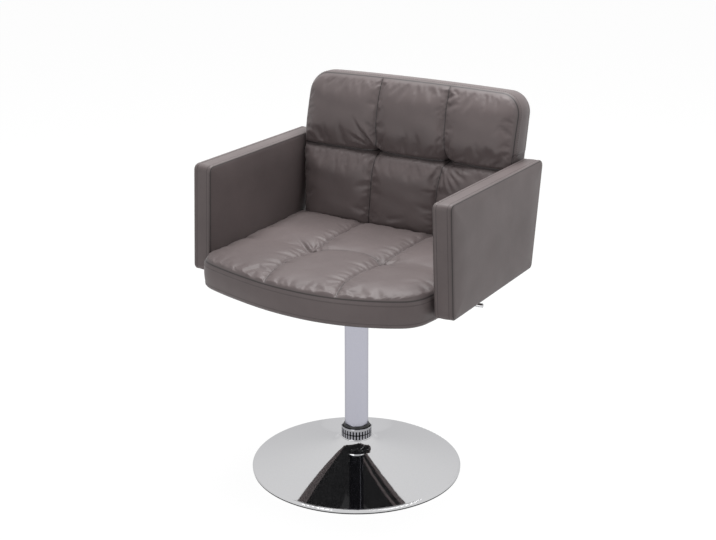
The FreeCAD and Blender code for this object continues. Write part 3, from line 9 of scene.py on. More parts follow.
import bmesh
import bpy
import numpy as np
from bpy.props import FloatProperty, FloatVectorProperty, PointerProperty
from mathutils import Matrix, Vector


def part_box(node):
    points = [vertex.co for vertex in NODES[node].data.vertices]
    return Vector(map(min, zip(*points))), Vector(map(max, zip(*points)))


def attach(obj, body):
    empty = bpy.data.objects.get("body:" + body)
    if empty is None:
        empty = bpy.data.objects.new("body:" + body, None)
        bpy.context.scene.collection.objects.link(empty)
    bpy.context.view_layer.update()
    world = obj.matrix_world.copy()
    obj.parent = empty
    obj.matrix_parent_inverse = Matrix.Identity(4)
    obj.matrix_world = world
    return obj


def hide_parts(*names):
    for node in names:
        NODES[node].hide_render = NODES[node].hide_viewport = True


bl_info = {
    "name": "Upholstered Swivel Chair",
    "version": (1, 0, 0),
    "blender": (4, 5, 0),
    "location": "View3D > Sidebar > Chair",
    "description": "Sewn cushions, arms, stitching, chrome and the studio of a swivel dining chair",
    "category": "Object",
}

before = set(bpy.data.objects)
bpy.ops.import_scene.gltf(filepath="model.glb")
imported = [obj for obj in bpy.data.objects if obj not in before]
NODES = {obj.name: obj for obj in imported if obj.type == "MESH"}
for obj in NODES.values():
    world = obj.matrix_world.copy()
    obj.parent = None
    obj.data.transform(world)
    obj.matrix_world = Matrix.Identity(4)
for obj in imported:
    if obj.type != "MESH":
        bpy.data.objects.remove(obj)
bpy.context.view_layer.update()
SEAT = "seat"


# Sizes and colours that a user may change

class ChairSizes(bpy.types.PropertyGroup):
    seam_depth: FloatProperty(
        name="Seam Depth", description="Depth of the fine groove along a sewn seam",
        default=0.0026, min=0.0, max=0.006, unit="LENGTH")
    seam_width: FloatProperty(
        name="Seam Width", description="Half width of the fine groove along a sewn seam",
        default=0.0027, min=0.0005, max=0.01, unit="LENGTH")
    # The seam line is a painted shade line in the crevice where two panels meet.
    seam_line: FloatProperty(
        name="Seam Line", description="Half width of the dark line where two panels meet",
        default=0.0013, min=0.0003, max=0.004, unit="LENGTH")
    tuft_depth: FloatProperty(
        name="Tuft Depth", description="Extra depth of the cover where a tuft pulls it in",
        default=0.007, min=0.0, max=0.02, unit="LENGTH")
    tuft_reach: FloatProperty(
        name="Tuft Reach", description="Distance over which a tuft draws the cover in",
        default=0.022, min=0.005, max=0.06, unit="LENGTH")
    mesh_step: FloatProperty(
        name="Mesh Step", description="Side of a face on the finished upholstery",
        default=0.0024, min=0.001, max=0.02, unit="LENGTH")
    stitch_inset: FloatProperty(
        name="Stitch Inset", description="Distance of the topstitching from the seam beside it",
        default=0.0082, min=0.002, max=0.02, unit="LENGTH")
    stitch_pitch: FloatProperty(
        name="Stitch Pitch", description="Distance from one stitch to the next",
        default=0.0045, min=0.002, max=0.01, unit="LENGTH")
    thread_radius: FloatProperty(
        name="Thread Radius", description="Radius of the sewing thread",
        default=0.00032, min=0.0001, max=0.001, unit="LENGTH")
    grain_scale: FloatProperty(
        name="Grain Scale", description="Pebbles of the leather's grain per metre",
        default=620.0, min=100.0, max=3000.0)


class ChairColours(bpy.types.PropertyGroup):
    leather: FloatVectorProperty(
        name="Leather", description="Colour of the upholstery leather", subtype="COLOR",
        size=3, default=(0.150, 0.121, 0.120), min=0.0, max=1.0)
    thread: FloatVectorProperty(
        name="Thread", description="Colour of the sewing thread", subtype="COLOR",
        size=3, default=(0.105, 0.085, 0.084), min=0.0, max=1.0)
    chrome: FloatVectorProperty(
        name="Chrome", description="Colour of the chrome plating", subtype="COLOR",
        size=3, default=(0.61, 0.61, 0.62), min=0.0, max=1.0)
    rubber: FloatVectorProperty(
        name="Rubber", description="Colour of rubber and plastic parts", subtype="COLOR",
        size=3, default=(0.012, 0.012, 0.013), min=0.0, max=1.0)
    wood: FloatVectorProperty(
        name="Wood", description="Colour of the plywood and battens", subtype="COLOR",
        size=3, default=(0.52, 0.36, 0.20), min=0.0, max=1.0)


# Numbers of the chair's form, in metres and radians

SEAT_BOTTOM = 0.410
SEAT_SEAM = 0.464
SEAT_HALF = 0.246
SEAT_FRONT_EDGE = (
    (-0.2460, -0.100), (-0.2460, -0.130), (-0.2445, -0.155), (-0.2360, -0.180),
    (-0.2180, -0.1955), (-0.1800, -0.2095), (-0.1350, -0.2225), (-0.0900, -0.2335),
    (-0.0450, -0.2415), (0.0000, -0.2455), (0.0450, -0.2455), (0.0900, -0.2400),
    (0.1300, -0.2300), (0.1650, -0.2170), (0.1950, -0.2025), (0.2190, -0.1865),
    (0.2340, -0.1640), (0.2400, -0.135), (0.2430, -0.105), (0.2450, -0.075))
SEAT_REAR_TURN = 0.006
SEAT_CROWN = 0.0115
SEAT_PUFF = 0.0035
SEAT_TUFTS = ((-0.071, -0.049), (0.085, -0.044))
SEAT_SEAMS = (
    ((-0.250, -0.215, -0.175, -0.125, -0.049, 0.030, 0.200),
     (-0.056, -0.066, -0.075, -0.079, -0.073, -0.077, -0.079)),
    ((-0.250, -0.215, -0.175, -0.125, -0.044, 0.030, 0.200),
     (0.101, 0.090, 0.079, 0.077, 0.083, 0.082, 0.087)))
COVER_LIFT = 0.0172
COVER_INSET = 0.012
BACK_SEAM_Y = 0.190
BACK_HALF = 0.2405
BACK_BOTTOM = 0.430
BACK_CROSS = 0.6175
BACK_TOP = 0.7655
BACK_TURN_LOW = 0.008
BACK_TURN_HIGH = 0.040
BACK_SWELL_LOW = 0.0215
BACK_SWELL_HIGH = 0.0110
BACK_PUFF = 0.0045
BACK_TUFTS = ((-0.064, 0.6195), (0.096, 0.6175))
BACK_SEAMS = (
    ((0.430, 0.480, 0.560, 0.6195, 0.680, 0.770), (-0.073, -0.072, -0.066, -0.063, -0.068, -0.071)),
    ((0.430, 0.520, 0.570, 0.6175, 0.680, 0.770), (0.082, 0.083, 0.088, 0.096, 0.090, 0.084)))
REAR_HALF_LOW = 0.2380
REAR_BOTTOM = 0.4097
REAR_FOOT_Y = 0.214
REAR_FOOT_Z = 0.424
REAR_SLOPE = math.tan(math.radians(11.3))
REAR_INSET = 0.013
REAR_TUCK = 0.0165
CLOTH_BOTTOM = 0.4103
CLOTH_BOW = (0.1541, 0.3910, 27.4)
CLOTH_CORNER = (0.236, -0.128)
CLOTH_REAR = 0.1888
ARM_INNER = 0.2395
ARM_TOP = 0.637
ARM_THICKNESS = 0.0425
ARM_SPLAY = math.radians(2.35)
ARM_CORNERS = ((-0.1455, -0.2145), (0.196, -0.2125), (0.2515, -0.0055), (-0.1455, 0.0))
ARM_TURN = 0.010
RIM_RINGS = 14
BACK_RIM_RINGS = 16
THIN_RIM_RINGS = 5
PUFF_SHARE = 0.92
SEWN_FAST = 0.75
NO_SEAM = 0.05


def ease(t):
    """Smooth step from 0 to 1 as t goes from 0 to 1."""
    t = np.clip(t, 0.0, 1.0)
    return t * t * (3.0 - 2.0 * t)


def rise(distance, reach, power=0.62):
    """Pillow profile: 0 at a seam, 1 a reach away, steep at the seam and flat at the end."""
    t = np.clip(distance / reach, 0.0, 1.0)
    return (1.0 - (1.0 - t) ** 2.2) ** power


def bell(distance, width):
    """Rounded groove or ridge of height 1: exp of minus the squared share of the width."""
    return np.exp(-(distance / width) ** 2)


def to_segment(x, y, start, end):
    """Distance of points x, y from the line from start to end, and their share along it."""
    ax, ay = start
    bx, by = end
    dx, dy = bx - ax, by - ay
    share = ((x - ax) * dx + (y - ay) * dy) / (dx * dx + dy * dy)
    inside = np.clip(share, 0.0, 1.0)
    return np.hypot(x - ax - inside * dx, y - ay - inside * dy), share


def crease(x, y, start, end, width, depth):
    """Fold that is deepest at its start, fades at its end, with a soft ridge on one side."""
    distance, share = to_segment(x, y, start, end)
    fade = (1.0 - ease(share)) * ease((share + 0.15) / 0.25)
    across = ((x - start[0]) * (end[1] - start[1]) - (y - start[1]) * (end[0] - start[0]))
    across = across / math.hypot(end[0] - start[0], end[1] - start[1])
    ridge = 0.7 * np.exp(-((across - 1.6 * width) / (1.3 * width)) ** 2)
    span = ease((share + 0.1) / 0.2) * (1.0 - ease(share))
    return depth * (fade * bell(distance, width) - ridge * span)


def ripples(x, y, seed, wave, count=9):
    """Sum of sine waves in seeded directions, roughly from -1 to 1: uneven hide."""
    rng = np.random.default_rng(seed)
    total = np.zeros_like(x)
    for turn, phase, stretch in zip(rng.uniform(0, math.pi, count),
                                    rng.uniform(0, 2 * math.pi, count),
                                    rng.uniform(0.6, 1.7, count)):
        total += np.sin((x * math.cos(turn) + y * math.sin(turn)) * 2 * math.pi
                        / (wave * stretch) + phase)
    return total / count ** 0.5 / 1.6


# Grids, slabs and meshes

def evenly(points, count):
    """A polyline resampled to count points at even distances along it."""
    points = np.asarray(points, float)
    steps = np.linalg.norm(np.diff(points, axis=0), axis=1)
    along = np.concatenate(([0.0], np.cumsum(steps)))
    wanted = np.linspace(0.0, along[-1], count)
    return np.stack([np.interp(wanted, along, points[:, axis])
                     for axis in range(points.shape[1])], axis=1)


def smooth_through(values, count):
    """Values resampled smoothly to count places along their first axis."""
    place = np.linspace(0.0, len(values) - 1.0, count)
    first = np.minimum(place.astype(int), len(values) - 2)
    t = (place - first).reshape(-1, *[1] * (values.ndim - 1))
    padded = np.concatenate([2 * values[:1] - values[1:2], values,
                             2 * values[-1:] - values[-2:-1]])
    a, b, c, d = (padded[first + step] for step in range(4))
    return 0.5 * (2 * b + (c - a) * t + (2 * a - 5 * b + 4 * c - d) * t ** 2
                  + (3 * b - a - 3 * c + d) * t ** 3)


def curved(points, count):
    """Smooth curve through control points, resampled to even distances."""
    return evenly(smooth_through(np.array(points), 40 * len(points)), count)


def seam_gap(across, along, seams):
    """Distance sideways from the nearer of the lengthwise seams."""
    gaps = [np.abs(across - np.interp(along, stations, places)) for stations, places in seams]
    return np.minimum(*gaps)


def seam_side(across, along, seams):
    """Signed distance from the lengthwise seams: positive between the two, negative outside."""
    places = [np.interp(along, stations, values) for stations, values in seams]
    return np.minimum(across - places[0], places[1] - across)


def spot_gap(across, along, spots):
    """Distance from the nearer of two spots."""
    gaps = [np.hypot(across - spot[0], along - spot[1]) for spot in spots]
    return np.minimum(*gaps)


def arc(centre, radius, first, last, count=24):
    """Points on a circle or ellipse from the first to the last angle, in degrees."""
    turn = np.radians(np.linspace(first, last, count))
    wide, high = radius if isinstance(radius, tuple) else (radius, radius)
    return np.stack([centre[0] + wide * np.cos(turn), centre[1] + high * np.sin(turn)], axis=1)


def patch(south, north, west, east):
    """Grid between four edge curves: both ruled surfaces less the one through the corners."""
    v = np.linspace(0.0, 1.0, len(west))[:, None, None]
    u = np.linspace(0.0, 1.0, len(south))[None, :, None]
    upward = (1 - v) * south[None] + v * north[None]
    sideways = (1 - u) * west[:, None] + u * east[:, None]
    corners = ((1 - v) * ((1 - u) * south[0] + u * south[-1])
               + v * ((1 - u) * north[0] + u * north[-1]))
    return upward + sideways - corners


def edge_curves(south, north, west, east, columns, rows):
    """Four edge curves resampled to the points of a grid between them."""
    return (evenly(south, columns), evenly(north, columns), evenly(west, rows),
            evenly(east, rows))


def rounded_edges(half_low, half_high, low, high, turn_low, turn_high, columns, rows):
    """Four edge curves of an upright shape with straight sides and four rounded corners.

    Each side runs between the middles of the two corners beside it.
    """
    lower = (half_low - turn_low, low + turn_low)
    upper = (half_high - turn_high, high - turn_high)
    south = np.concatenate([arc((-lower[0], lower[1]), turn_low, 225, 270),
                            arc((lower[0], lower[1]), turn_low, 270, 315)])
    north = np.concatenate([arc((-upper[0], upper[1]), turn_high, 135, 90),
                            arc((upper[0], upper[1]), turn_high, 90, 45)])
    west = np.concatenate([arc((-lower[0], lower[1]), turn_low, 225, 180),
                           arc((-upper[0], upper[1]), turn_high, 180, 135)])
    return edge_curves(south, north, west, west * (-1, 1), columns, rows)


def border(columns, rows):
    """Numbers of a grid's outer points, once round against the clock from its first."""
    grid = np.arange(rows * columns).reshape(rows, columns)
    return np.concatenate([grid[0, :-1], grid[:-1, -1], grid[-1, :0:-1], grid[:0:-1, 0]])


def grid_rim(grid):
    """A grid's outer points, once round in the order of border."""
    rows, columns, parts = grid.shape
    return grid.reshape(-1, parts)[border(columns, rows)]


def grid_faces(columns, rows, start=0):
    """Quads of a grid of points, numbered row by row."""
    grid = np.arange(rows * columns).reshape(rows, columns) + start
    return np.stack([grid[:-1, :-1], grid[:-1, 1:], grid[1:, 1:], grid[1:, :-1]],
                    axis=-1).reshape(-1, 4)


def closed_slab(front, rear, rings):
    """Points and quads of a closed slab: a front grid, rings round its rim, a rear grid."""
    rows, columns = front.shape[:2]
    edge = border(columns, rows)
    points = [front.reshape(-1, 3), rear.reshape(-1, 3)]
    total = 2 * rows * columns
    loops = [edge]
    for ring in rings:
        points.append(ring)
        loops.append(np.arange(len(edge)) + total)
        total += len(edge)
    loops.append(edge + rows * columns)
    faces = [grid_faces(columns, rows), grid_faces(columns, rows, rows * columns)[:, ::-1]]
    for first, second in zip(loops, loops[1:]):
        faces.append(np.stack([first, second, np.roll(second, -1), np.roll(first, -1)], axis=1))
    return np.concatenate(points), np.concatenate(faces)


def make_mesh(name, points, faces, smooth=True):
    """Mesh object from point and face arrays, with its faces turned outwards."""
    mesh = bpy.data.meshes.new(name)
    mesh.from_pydata(points.tolist(), [], faces.tolist())
    shape = bmesh.new()
    shape.from_mesh(mesh)
    bmesh.ops.recalc_face_normals(shape, faces=shape.faces)
    shape.to_mesh(mesh)
    shape.free()
    if smooth:
        mesh.polygons.foreach_set("use_smooth", np.ones(len(mesh.polygons), bool))
    mesh.update()
    thing = bpy.data.objects.new(name, mesh)
    bpy.context.scene.collection.objects.link(thing)
    return thing


def refined(grid, columns, rows):
    """A grid resampled smoothly along its rows and then along its columns."""
    tall = smooth_through(grid, rows)
    return smooth_through(tall.transpose(1, 0, 2), columns).transpose(1, 0, 2)


def puff(name, points, faces, held, cap, pressure=4.0, slack=0.02, frames=20):
    """Blow a closed cover up with a short cloth simulation and return its points.

    Held points stay where they are. No point moves further than the cap.
    """
    thing = make_mesh(name, points, faces)
    group = thing.vertex_groups.new(name="held")
    for amount in np.unique(held):
        if amount > 0:
            group.add(np.flatnonzero(held == amount).tolist(), float(amount), "REPLACE")
    cloth = thing.modifiers.new("Cloth", "CLOTH")
    settings = cloth.settings
    settings.quality = 6
    settings.mass = 0.35
    settings.tension_stiffness = 18
    settings.compression_stiffness = 18
    settings.shear_stiffness = 8
    settings.bending_stiffness = 1.2
    settings.use_pressure = True
    settings.uniform_pressure_force = pressure
    settings.shrink_min = -slack
    settings.vertex_group_mass = "held"
    settings.effector_weights.gravity = 0.0
    cloth.point_cache.frame_start = 1
    cloth.point_cache.frame_end = frames
    scene = bpy.context.scene
    for number in range(1, frames + 1):
        scene.frame_set(number)
    solved = thing.evaluated_get(bpy.context.evaluated_depsgraph_get())
    found = np.empty(len(points) * 3)
    solved.data.vertices.foreach_get("co", found)
    moved = found.reshape(-1, 3) - points
    length = np.maximum(np.linalg.norm(moved, axis=1, keepdims=True), 1e-9)
    moved *= np.minimum(1.0, cap * np.tanh(length / cap) / length)
    scene.frame_set(1)
    mesh = thing.data
    bpy.data.objects.remove(thing)
    bpy.data.meshes.remove(mesh)
    return points + moved


def swollen(name, grid, rear, rings, loose, cap, columns, rows):
    """How far a cloth simulation moves a coarse grid, resampled for the finished grid.

    Loose is 1 where the cover may swell freely and 0 where it is sewn down.
    """
    points, faces = closed_slab(grid, rear, rings)
    held = np.ones(len(points))
    held[:loose.size] = np.round(1.0 - loose.reshape(-1), 1)
    moved = puff(name, points, faces, held, cap) - points
    return refined(moved[:loose.size].reshape(grid.shape), columns, rows)


def stitches(name, paths, pitch, radius, length_share=0.68):
    """Rows of short raised stitches along paths of points with their normals.

    Each stitch is a six-sided bar that dips into the leather at both ends.
    """
    sides = 6
    stations = np.linspace(-0.5, 0.5, 6)
    turn = np.arange(sides) * 2 * math.pi / sides
    points, faces, total = [], [], 0
    for path, normals in paths:
        steps = np.linalg.norm(np.diff(path, axis=0), axis=1)
        along = np.concatenate(([0.0], np.cumsum(steps)))
        count = max(int(along[-1] / pitch), 1)
        centres = (np.arange(count) + 0.5) * along[-1] / count
        sample = centres[:, None] + stations[None] * pitch * length_share
        spot = np.stack([np.interp(sample, along, path[:, axis]) for axis in range(3)], axis=-1)
        up = np.stack([np.interp(sample, along, normals[:, axis]) for axis in range(3)], axis=-1)
        up /= np.maximum(np.linalg.norm(up, axis=-1, keepdims=True), 1e-9)
        forward = np.gradient(spot, axis=1)
        forward /= np.maximum(np.linalg.norm(forward, axis=-1, keepdims=True), 1e-9)
        side = np.cross(forward, up)
        lift = radius * (0.9 - 2.6 * (2 * np.abs(stations)) ** 3)
        spot = spot + up * lift[None, :, None]
        body = radius * (1.0 - 0.45 * (2 * np.abs(stations)) ** 4)
        ring = (spot[:, :, None] + body[None, :, None, None]
                * (side[:, :, None] * np.cos(turn)[None, None, :, None]
                   + up[:, :, None] * np.sin(turn)[None, None, :, None]))
        points.append(ring.reshape(-1, 3))
        tube = np.arange(len(stations) * sides).reshape(len(stations), sides)
        quads = np.stack([tube[:-1], np.roll(tube[:-1], -1, axis=1),
                          np.roll(tube[1:], -1, axis=1), tube[1:]], axis=-1).reshape(-1, 4)
        ends = np.stack([tube[0][[0, 1, 2, 3]], tube[0][[0, 3, 4, 5]],
                         tube[-1][[3, 2, 1, 0]], tube[-1][[5, 4, 3, 0]]])
        single = np.concatenate([quads, ends])
        offsets = total + np.arange(count) * len(stations) * sides
        faces.append((single[None] + offsets[:, None, None]).reshape(-1, 4))
        total += count * len(stations) * sides
    return make_mesh(name, np.concatenate(points), np.concatenate(faces))


def rim_rings(front, rear, count, bulge, outward, roll=0.0):
    """Rings from the front's border to the rear's, swollen outwards between the two.

    The swell follows sin(pi t) to the power 0.7; roll adds a lip just beside each seam.
    """
    first, last = grid_rim(front), grid_rim(rear)
    rings = []
    for t in np.linspace(0.0, 1.0, count + 2)[1:-1]:
        swell = bulge * math.sin(math.pi * t) ** 0.7
        swell += roll * (bell(t - 0.09, 0.06) + bell(t - 0.91, 0.06))
        rings.append(first * (1 - t) + last * t + outward * swell)
    return rings


# Seat cushion

def seat_rear(x):
    """Y of the cushion's rear seam, which follows the swell of the back above it."""
    return 0.184 - 0.012 * np.cos(np.clip(x / SEAT_HALF, -1, 1) * math.pi / 2) ** 0.8


def seat_plan(columns, rows):
    """Edge curves of the seat's plan: bowed front, rounded front corners, straight sides.

    The front's curve goes on up both sides, so it is cut in the middle of each corner.
    """
    front = curved(SEAT_FRONT_EDGE, 400)
    left, right = 66, 330
    turn_x, turn_y = SEAT_HALF - SEAT_REAR_TURN, seat_rear(SEAT_HALF) - SEAT_REAR_TURN
    south = front[left:right + 1]
    east = np.concatenate([front[right:], [(SEAT_HALF, -0.03)], [(SEAT_HALF, turn_y)],
                           arc((turn_x, turn_y), SEAT_REAR_TURN, 0, 45, 8)])
    west = np.concatenate([front[left::-1], [(-SEAT_HALF, turn_y)],
                           arc((-turn_x, turn_y), SEAT_REAR_TURN, 180, 135, 8)])
    rear_x = np.linspace(-turn_x, turn_x, 60)
    rear = np.stack([rear_x, seat_rear(rear_x)], axis=1)
    north = np.concatenate([arc((-turn_x, turn_y), SEAT_REAR_TURN, 135, 90, 8)[:-1], rear,
                            arc((turn_x, turn_y), SEAT_REAR_TURN, 90, 45, 8)[1:]])
    return edge_curves(south, north, west, east, columns, rows)


def cross_gap(x, y):
    """Signed distance along Y from the curved line between the seat's tufts, and the share."""
    left, right = SEAT_TUFTS
    share = (x - left[0]) / (right[0] - left[0])
    line = left[1] + (right[1] - left[1]) * share + 0.024 * np.sin(np.clip(share, 0, 1) * math.pi)
    return y - line, share


def seat_top(x, y, edge, sizes, share=1.0):
    """Height of the seat's top: a crown that falls to the seams, drawn in at two tufts."""
    crown = SEAT_CROWN * rise(edge, 0.062, 0.60)
    gap = seam_gap(x, y, SEAT_SEAMS)
    valley = 0.0046 * bell(gap, 0.014) * (0.6 + 0.4 * bell(y - SEAT_TUFTS[0][1], 0.09))
    line, along = cross_gap(x, y)
    between = ease(1.0 - np.abs(along - 0.5) / 0.55)
    cross = 0.0042 * bell(line, 0.014) * between
    outside = np.maximum(np.abs(along - 0.5) - 0.5, 0.0)
    cross = cross + 0.0045 * bell(y - SEAT_TUFTS[0][1] - 0.01, 0.030) * ease(outside / 0.1)
    tuft = sizes.tuft_depth * np.exp(-spot_gap(x, y, SEAT_TUFTS) / sizes.tuft_reach)
    inside = rise(edge, 0.03, 0.8)
    return SEAT_SEAM + share * (crown - (valley + cross + tuft) * inside)


def seat_folds(x, y, sizes):
    """Depth of the fine seams, puckers and creases of the seat's top."""
    seam = 1.2 * sizes.seam_depth * bell(seam_gap(x, y, SEAT_SEAMS), sizes.seam_width)
    line, along = cross_gap(x, y)
    cross = 0.5 * sizes.seam_depth * bell(line, sizes.seam_width * 1.5) * ease(
        1.0 - np.abs(along - 0.5) / 0.5)
    depth = seam + cross
    left, right = SEAT_TUFTS
    for start, end, width, amount in (
            (left, (-0.138, -0.010), 0.0038, 0.0066),
            (left, (-0.104, 0.012), 0.0042, 0.0034),
            (left, (-0.112, -0.082), 0.0046, 0.0028),
            (left, (-0.030, -0.040), 0.0042, 0.0034),
            (left, (-0.046, -0.082), 0.0046, 0.0022),
            (right, (0.130, -0.050), 0.0040, 0.0040),
            (right, (0.114, -0.010), 0.0046, 0.0030),
            (right, (0.046, -0.030), 0.0042, 0.0034),
            (right, (0.056, -0.004), 0.0046, 0.0022),
            ((-0.216, -0.150), (-0.176, -0.176), 0.0060, 0.0010),
            ((0.205, -0.120), (0.170, -0.150), 0.0070, 0.0010)):
        depth = depth + crease(x, y, start, end, width, amount)
    return depth + 0.0026 * np.exp(-spot_gap(x, y, SEAT_TUFTS) / 0.0045)


def edge_distance(grid_points, outline):
    """Distance of each point from the nearest piece of a closed outline, both flat."""
    flat = grid_points.reshape(-1, 2)
    start = outline
    step = np.roll(outline, -1, axis=0) - outline
    best = np.full(len(flat), 1e9)
    for first in range(0, len(start), 40):
        a = start[first:first + 40]
        d = step[first:first + 40]
        size = np.maximum((d ** 2).sum(1), 1e-15)
        share = np.clip(((flat[:, None] - a[None]) * d[None]).sum(2) / size[None], 0, 1)
        gap = flat[:, None] - a[None] - share[..., None] * d[None]
        best = np.minimum(best, np.sqrt((gap ** 2).sum(2)).min(1))
    return best.reshape(grid_points.shape[:2])


def plan_outline(edges):
    """The four edge curves joined into one closed outline."""
    south, north, west, east = edges
    return np.concatenate([south[:-1], east[:-1], north[::-1][:-1], west[::-1][:-1]])


def plan_grid(edges, finer=None):
    """Flat grid between four edge curves, and each point's distance from their outline.

    Finer edge curves make the distance smoother than the grid's own.
    """
    plan = patch(*edges)
    edge = edge_distance(plan, plan_outline(finer or edges))
    edge[0], edge[-1], edge[:, 0], edge[:, -1] = 0, 0, 0, 0
    return plan, edge


def outward_of(points, flat_axes):
    """Unit directions away from a closed ring of points, square to it and in its plane."""
    ring = points[:, flat_axes]
    along = np.roll(ring, -1, axis=0) - np.roll(ring, 1, axis=0)
    along /= np.maximum(np.linalg.norm(along, axis=1, keepdims=True), 1e-9)
    out = np.zeros_like(points)
    out[:, flat_axes[0]] = along[:, 1]
    out[:, flat_axes[1]] = -along[:, 0]
    return out


def seat_shape(columns, rows, sizes, share):
    """Top and bottom grids of the seat and the plan's distance from its edge."""
    plan, edge = plan_grid(seat_plan(columns, rows), seat_plan(columns * 2, rows * 2))
    x, y = plan[..., 0], plan[..., 1]
    top = np.dstack([x, y, seat_top(x, y, edge, sizes, share)])
    lifted = SEAT_BOTTOM + COVER_LIFT * ease((edge - COVER_INSET) / 0.004)
    under = np.dstack([x * 0.998, y * 0.997, lifted])
    return top, under, edge


def seat_rim(top, under, count):
    """Rings of the seat's boxing, which swells less along the rear."""
    rim = grid_rim(top)
    swell = np.where(rim[:, 1:2] > 0.13, 0.25, 1.0)
    return rim_rings(top, under, count, 0.0038, outward_of(rim, (0, 1)) * swell, 0.0014)


class CHAIR_OT_seat_cushion(bpy.types.Operator):
    """Bow-fronted boxed seat cushion with lengthwise seams and two tufts"""
    bl_idname = "chair.seat_cushion"
    bl_label = "Seat Cushion"

    def execute(self, context):
        sizes = context.scene.chair_sizes
        columns, rows = int(0.50 / sizes.mesh_step), int(0.42 / sizes.mesh_step)
        top, under, edge = seat_shape(columns, rows, sizes, 1.0)
        soft, low, gap = seat_shape(columns // 2, rows // 2, sizes, PUFF_SHARE)
        x, y = soft[..., 0], soft[..., 1]
        sewn = SEWN_FAST * bell(seam_gap(x, y, SEAT_SEAMS), 0.004)
        sewn = sewn + np.exp(-spot_gap(x, y, SEAT_TUFTS) / 0.012)
        loose = np.clip(1.0 - sewn, 0, 1) * (gap > 0.004)
        rings = seat_rim(soft, low, THIN_RIM_RINGS)
        top = top + swollen("seat_try", soft, low, rings, loose, SEAT_PUFF, columns, rows)
        x, y = top[..., 0], top[..., 1]
        inside = ease((edge - 0.001) / 0.004)
        top[..., 2] -= seat_folds(x, y, sizes) * inside
        top[..., 2] -= sizes.seam_depth * bell(edge, 0.003)
        top[..., 2] += 0.0006 * ripples(x, y, 3, 0.055) * inside
        rings = seat_rim(top, under, RIM_RINGS)
        points, faces = closed_slab(top, under, rings)
        cushion = make_mesh("seat_cushion_cover", points, faces)
        line, share = cross_gap(x, y)
        beyond = np.maximum(np.abs(share - 0.5) - 0.5, 0.0)
        line = np.where(beyond > 0, np.abs(line) + beyond, line)
        # The scaled distances make the painted seam shade and the painted crevice line narrower on
        # the seat's top.
        mark_seams(cushion, edge, RIM_RINGS, 1.5 * seam_side(x, y, SEAT_SEAMS), 2.2 * line,
                   0.054)
        dress(cushion, leather(context), "seat_leather", "seat_cushion")
        sew(context, "seat_stitches", [strip_path(top, rings, 1)], "seat_leather")
        return {"FINISHED"}


def mark_seams(thing, edge, rings, lengthwise=None, cross=None, width=0.04):
    """Store each point's distances from the outer, lengthwise and cross seams, in metres.

    The points are a front grid, a rear grid and the rim's rings, as closed_slab puts them.
    On the rim the first distance is negative, so that the material finds the topstitching.
    """
    far = np.full(edge.shape, NO_SEAM)
    front = np.stack([edge, far if lengthwise is None else lengthwise,
                      far if cross is None else cross], axis=-1).reshape(-1, 3)
    rear = np.stack([edge, far, far], axis=-1).reshape(-1, 3)
    around = len(border(edge.shape[1], edge.shape[0]))
    share = np.linspace(0.0, 1.0, rings + 2)[1:-1]
    gap = -np.repeat(np.minimum(share, 1 - share) * width, around)
    away = np.full(len(gap), NO_SEAM)
    rim = np.stack([gap, away, away], axis=-1)
    layer = thing.data.attributes.new("seams", "FLOAT_VECTOR", "POINT")
    layer.data.foreach_set("vector", np.concatenate([front, rear, rim]).astype(np.float32).ravel())


def strip_path(front, rings, number):
    """Path along one ring of a rim, with normals that point out of the strip."""
    ring = rings[number]
    inner = front.reshape(-1, 3).mean(axis=0)
    along = np.roll(ring, -1, axis=0) - np.roll(ring, 1, axis=0)
    across = rings[number + 1] - rings[number - 1]
    normal = np.cross(along, across)
    normal /= np.maximum(np.linalg.norm(normal, axis=1, keepdims=True), 1e-9)
    flip = np.sign(((ring - inner) * normal).sum())
    closed = np.concatenate([ring, ring[:1]])
    return closed, np.concatenate([normal, normal[:1]]) * flip


def dress(thing, material, slot_name, *replaced):
    """Give a piece its material, let it ride on the seat and stand for CAD nodes; slot_name is not
    used.
    """
    thing.data.materials.append(material)
    if replaced:
        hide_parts(*replaced)
    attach(thing, SEAT)


def sew(context, name, paths, slot_name):
    """Raised topstitching along paths through the leather; slot_name is passed on but not used."""
    sizes = context.scene.chair_sizes
    thread = stitches(name, paths, sizes.stitch_pitch, sizes.thread_radius)
    dress(thread, thread_material(context), slot_name)


# Back pad

def back_line(z):
    """Y of the seam plane round the back's front: upright below, leaning back above."""
    soft = 0.02
    return BACK_SEAM_Y + 0.30 * soft * np.log1p(np.exp((z - 0.645) / soft))


def rear_line(z):
    """Y of the back's rear plane."""
    return REAR_FOOT_Y + (z - REAR_FOOT_Z) * REAR_SLOPE


def back_swell(x, z, edge, sizes, share):
    """Forward swell of the back's front: two rows of panels, drawn in at two tufts."""
    upper = z > BACK_CROSS
    cross = np.abs(z - BACK_CROSS)
    low = BACK_SWELL_LOW * rise(edge, 0.060, 0.66) * rise(cross, 0.055, 0.60)
    high = BACK_SWELL_HIGH * rise(edge, 0.055, 0.72) * rise(cross, 0.050, 0.70)
    body = np.where(upper, high, low) + 0.005 * rise(edge, 0.04, 0.75)
    gap = seam_gap(x, z, BACK_SEAMS)
    valley = 0.0046 * bell(gap, 0.017) * rise(edge, 0.03)
    tuft = sizes.tuft_depth * 1.3 * np.exp(-spot_gap(x, z, BACK_TUFTS) / (sizes.tuft_reach * 1.1))
    return share * (body - valley - tuft)


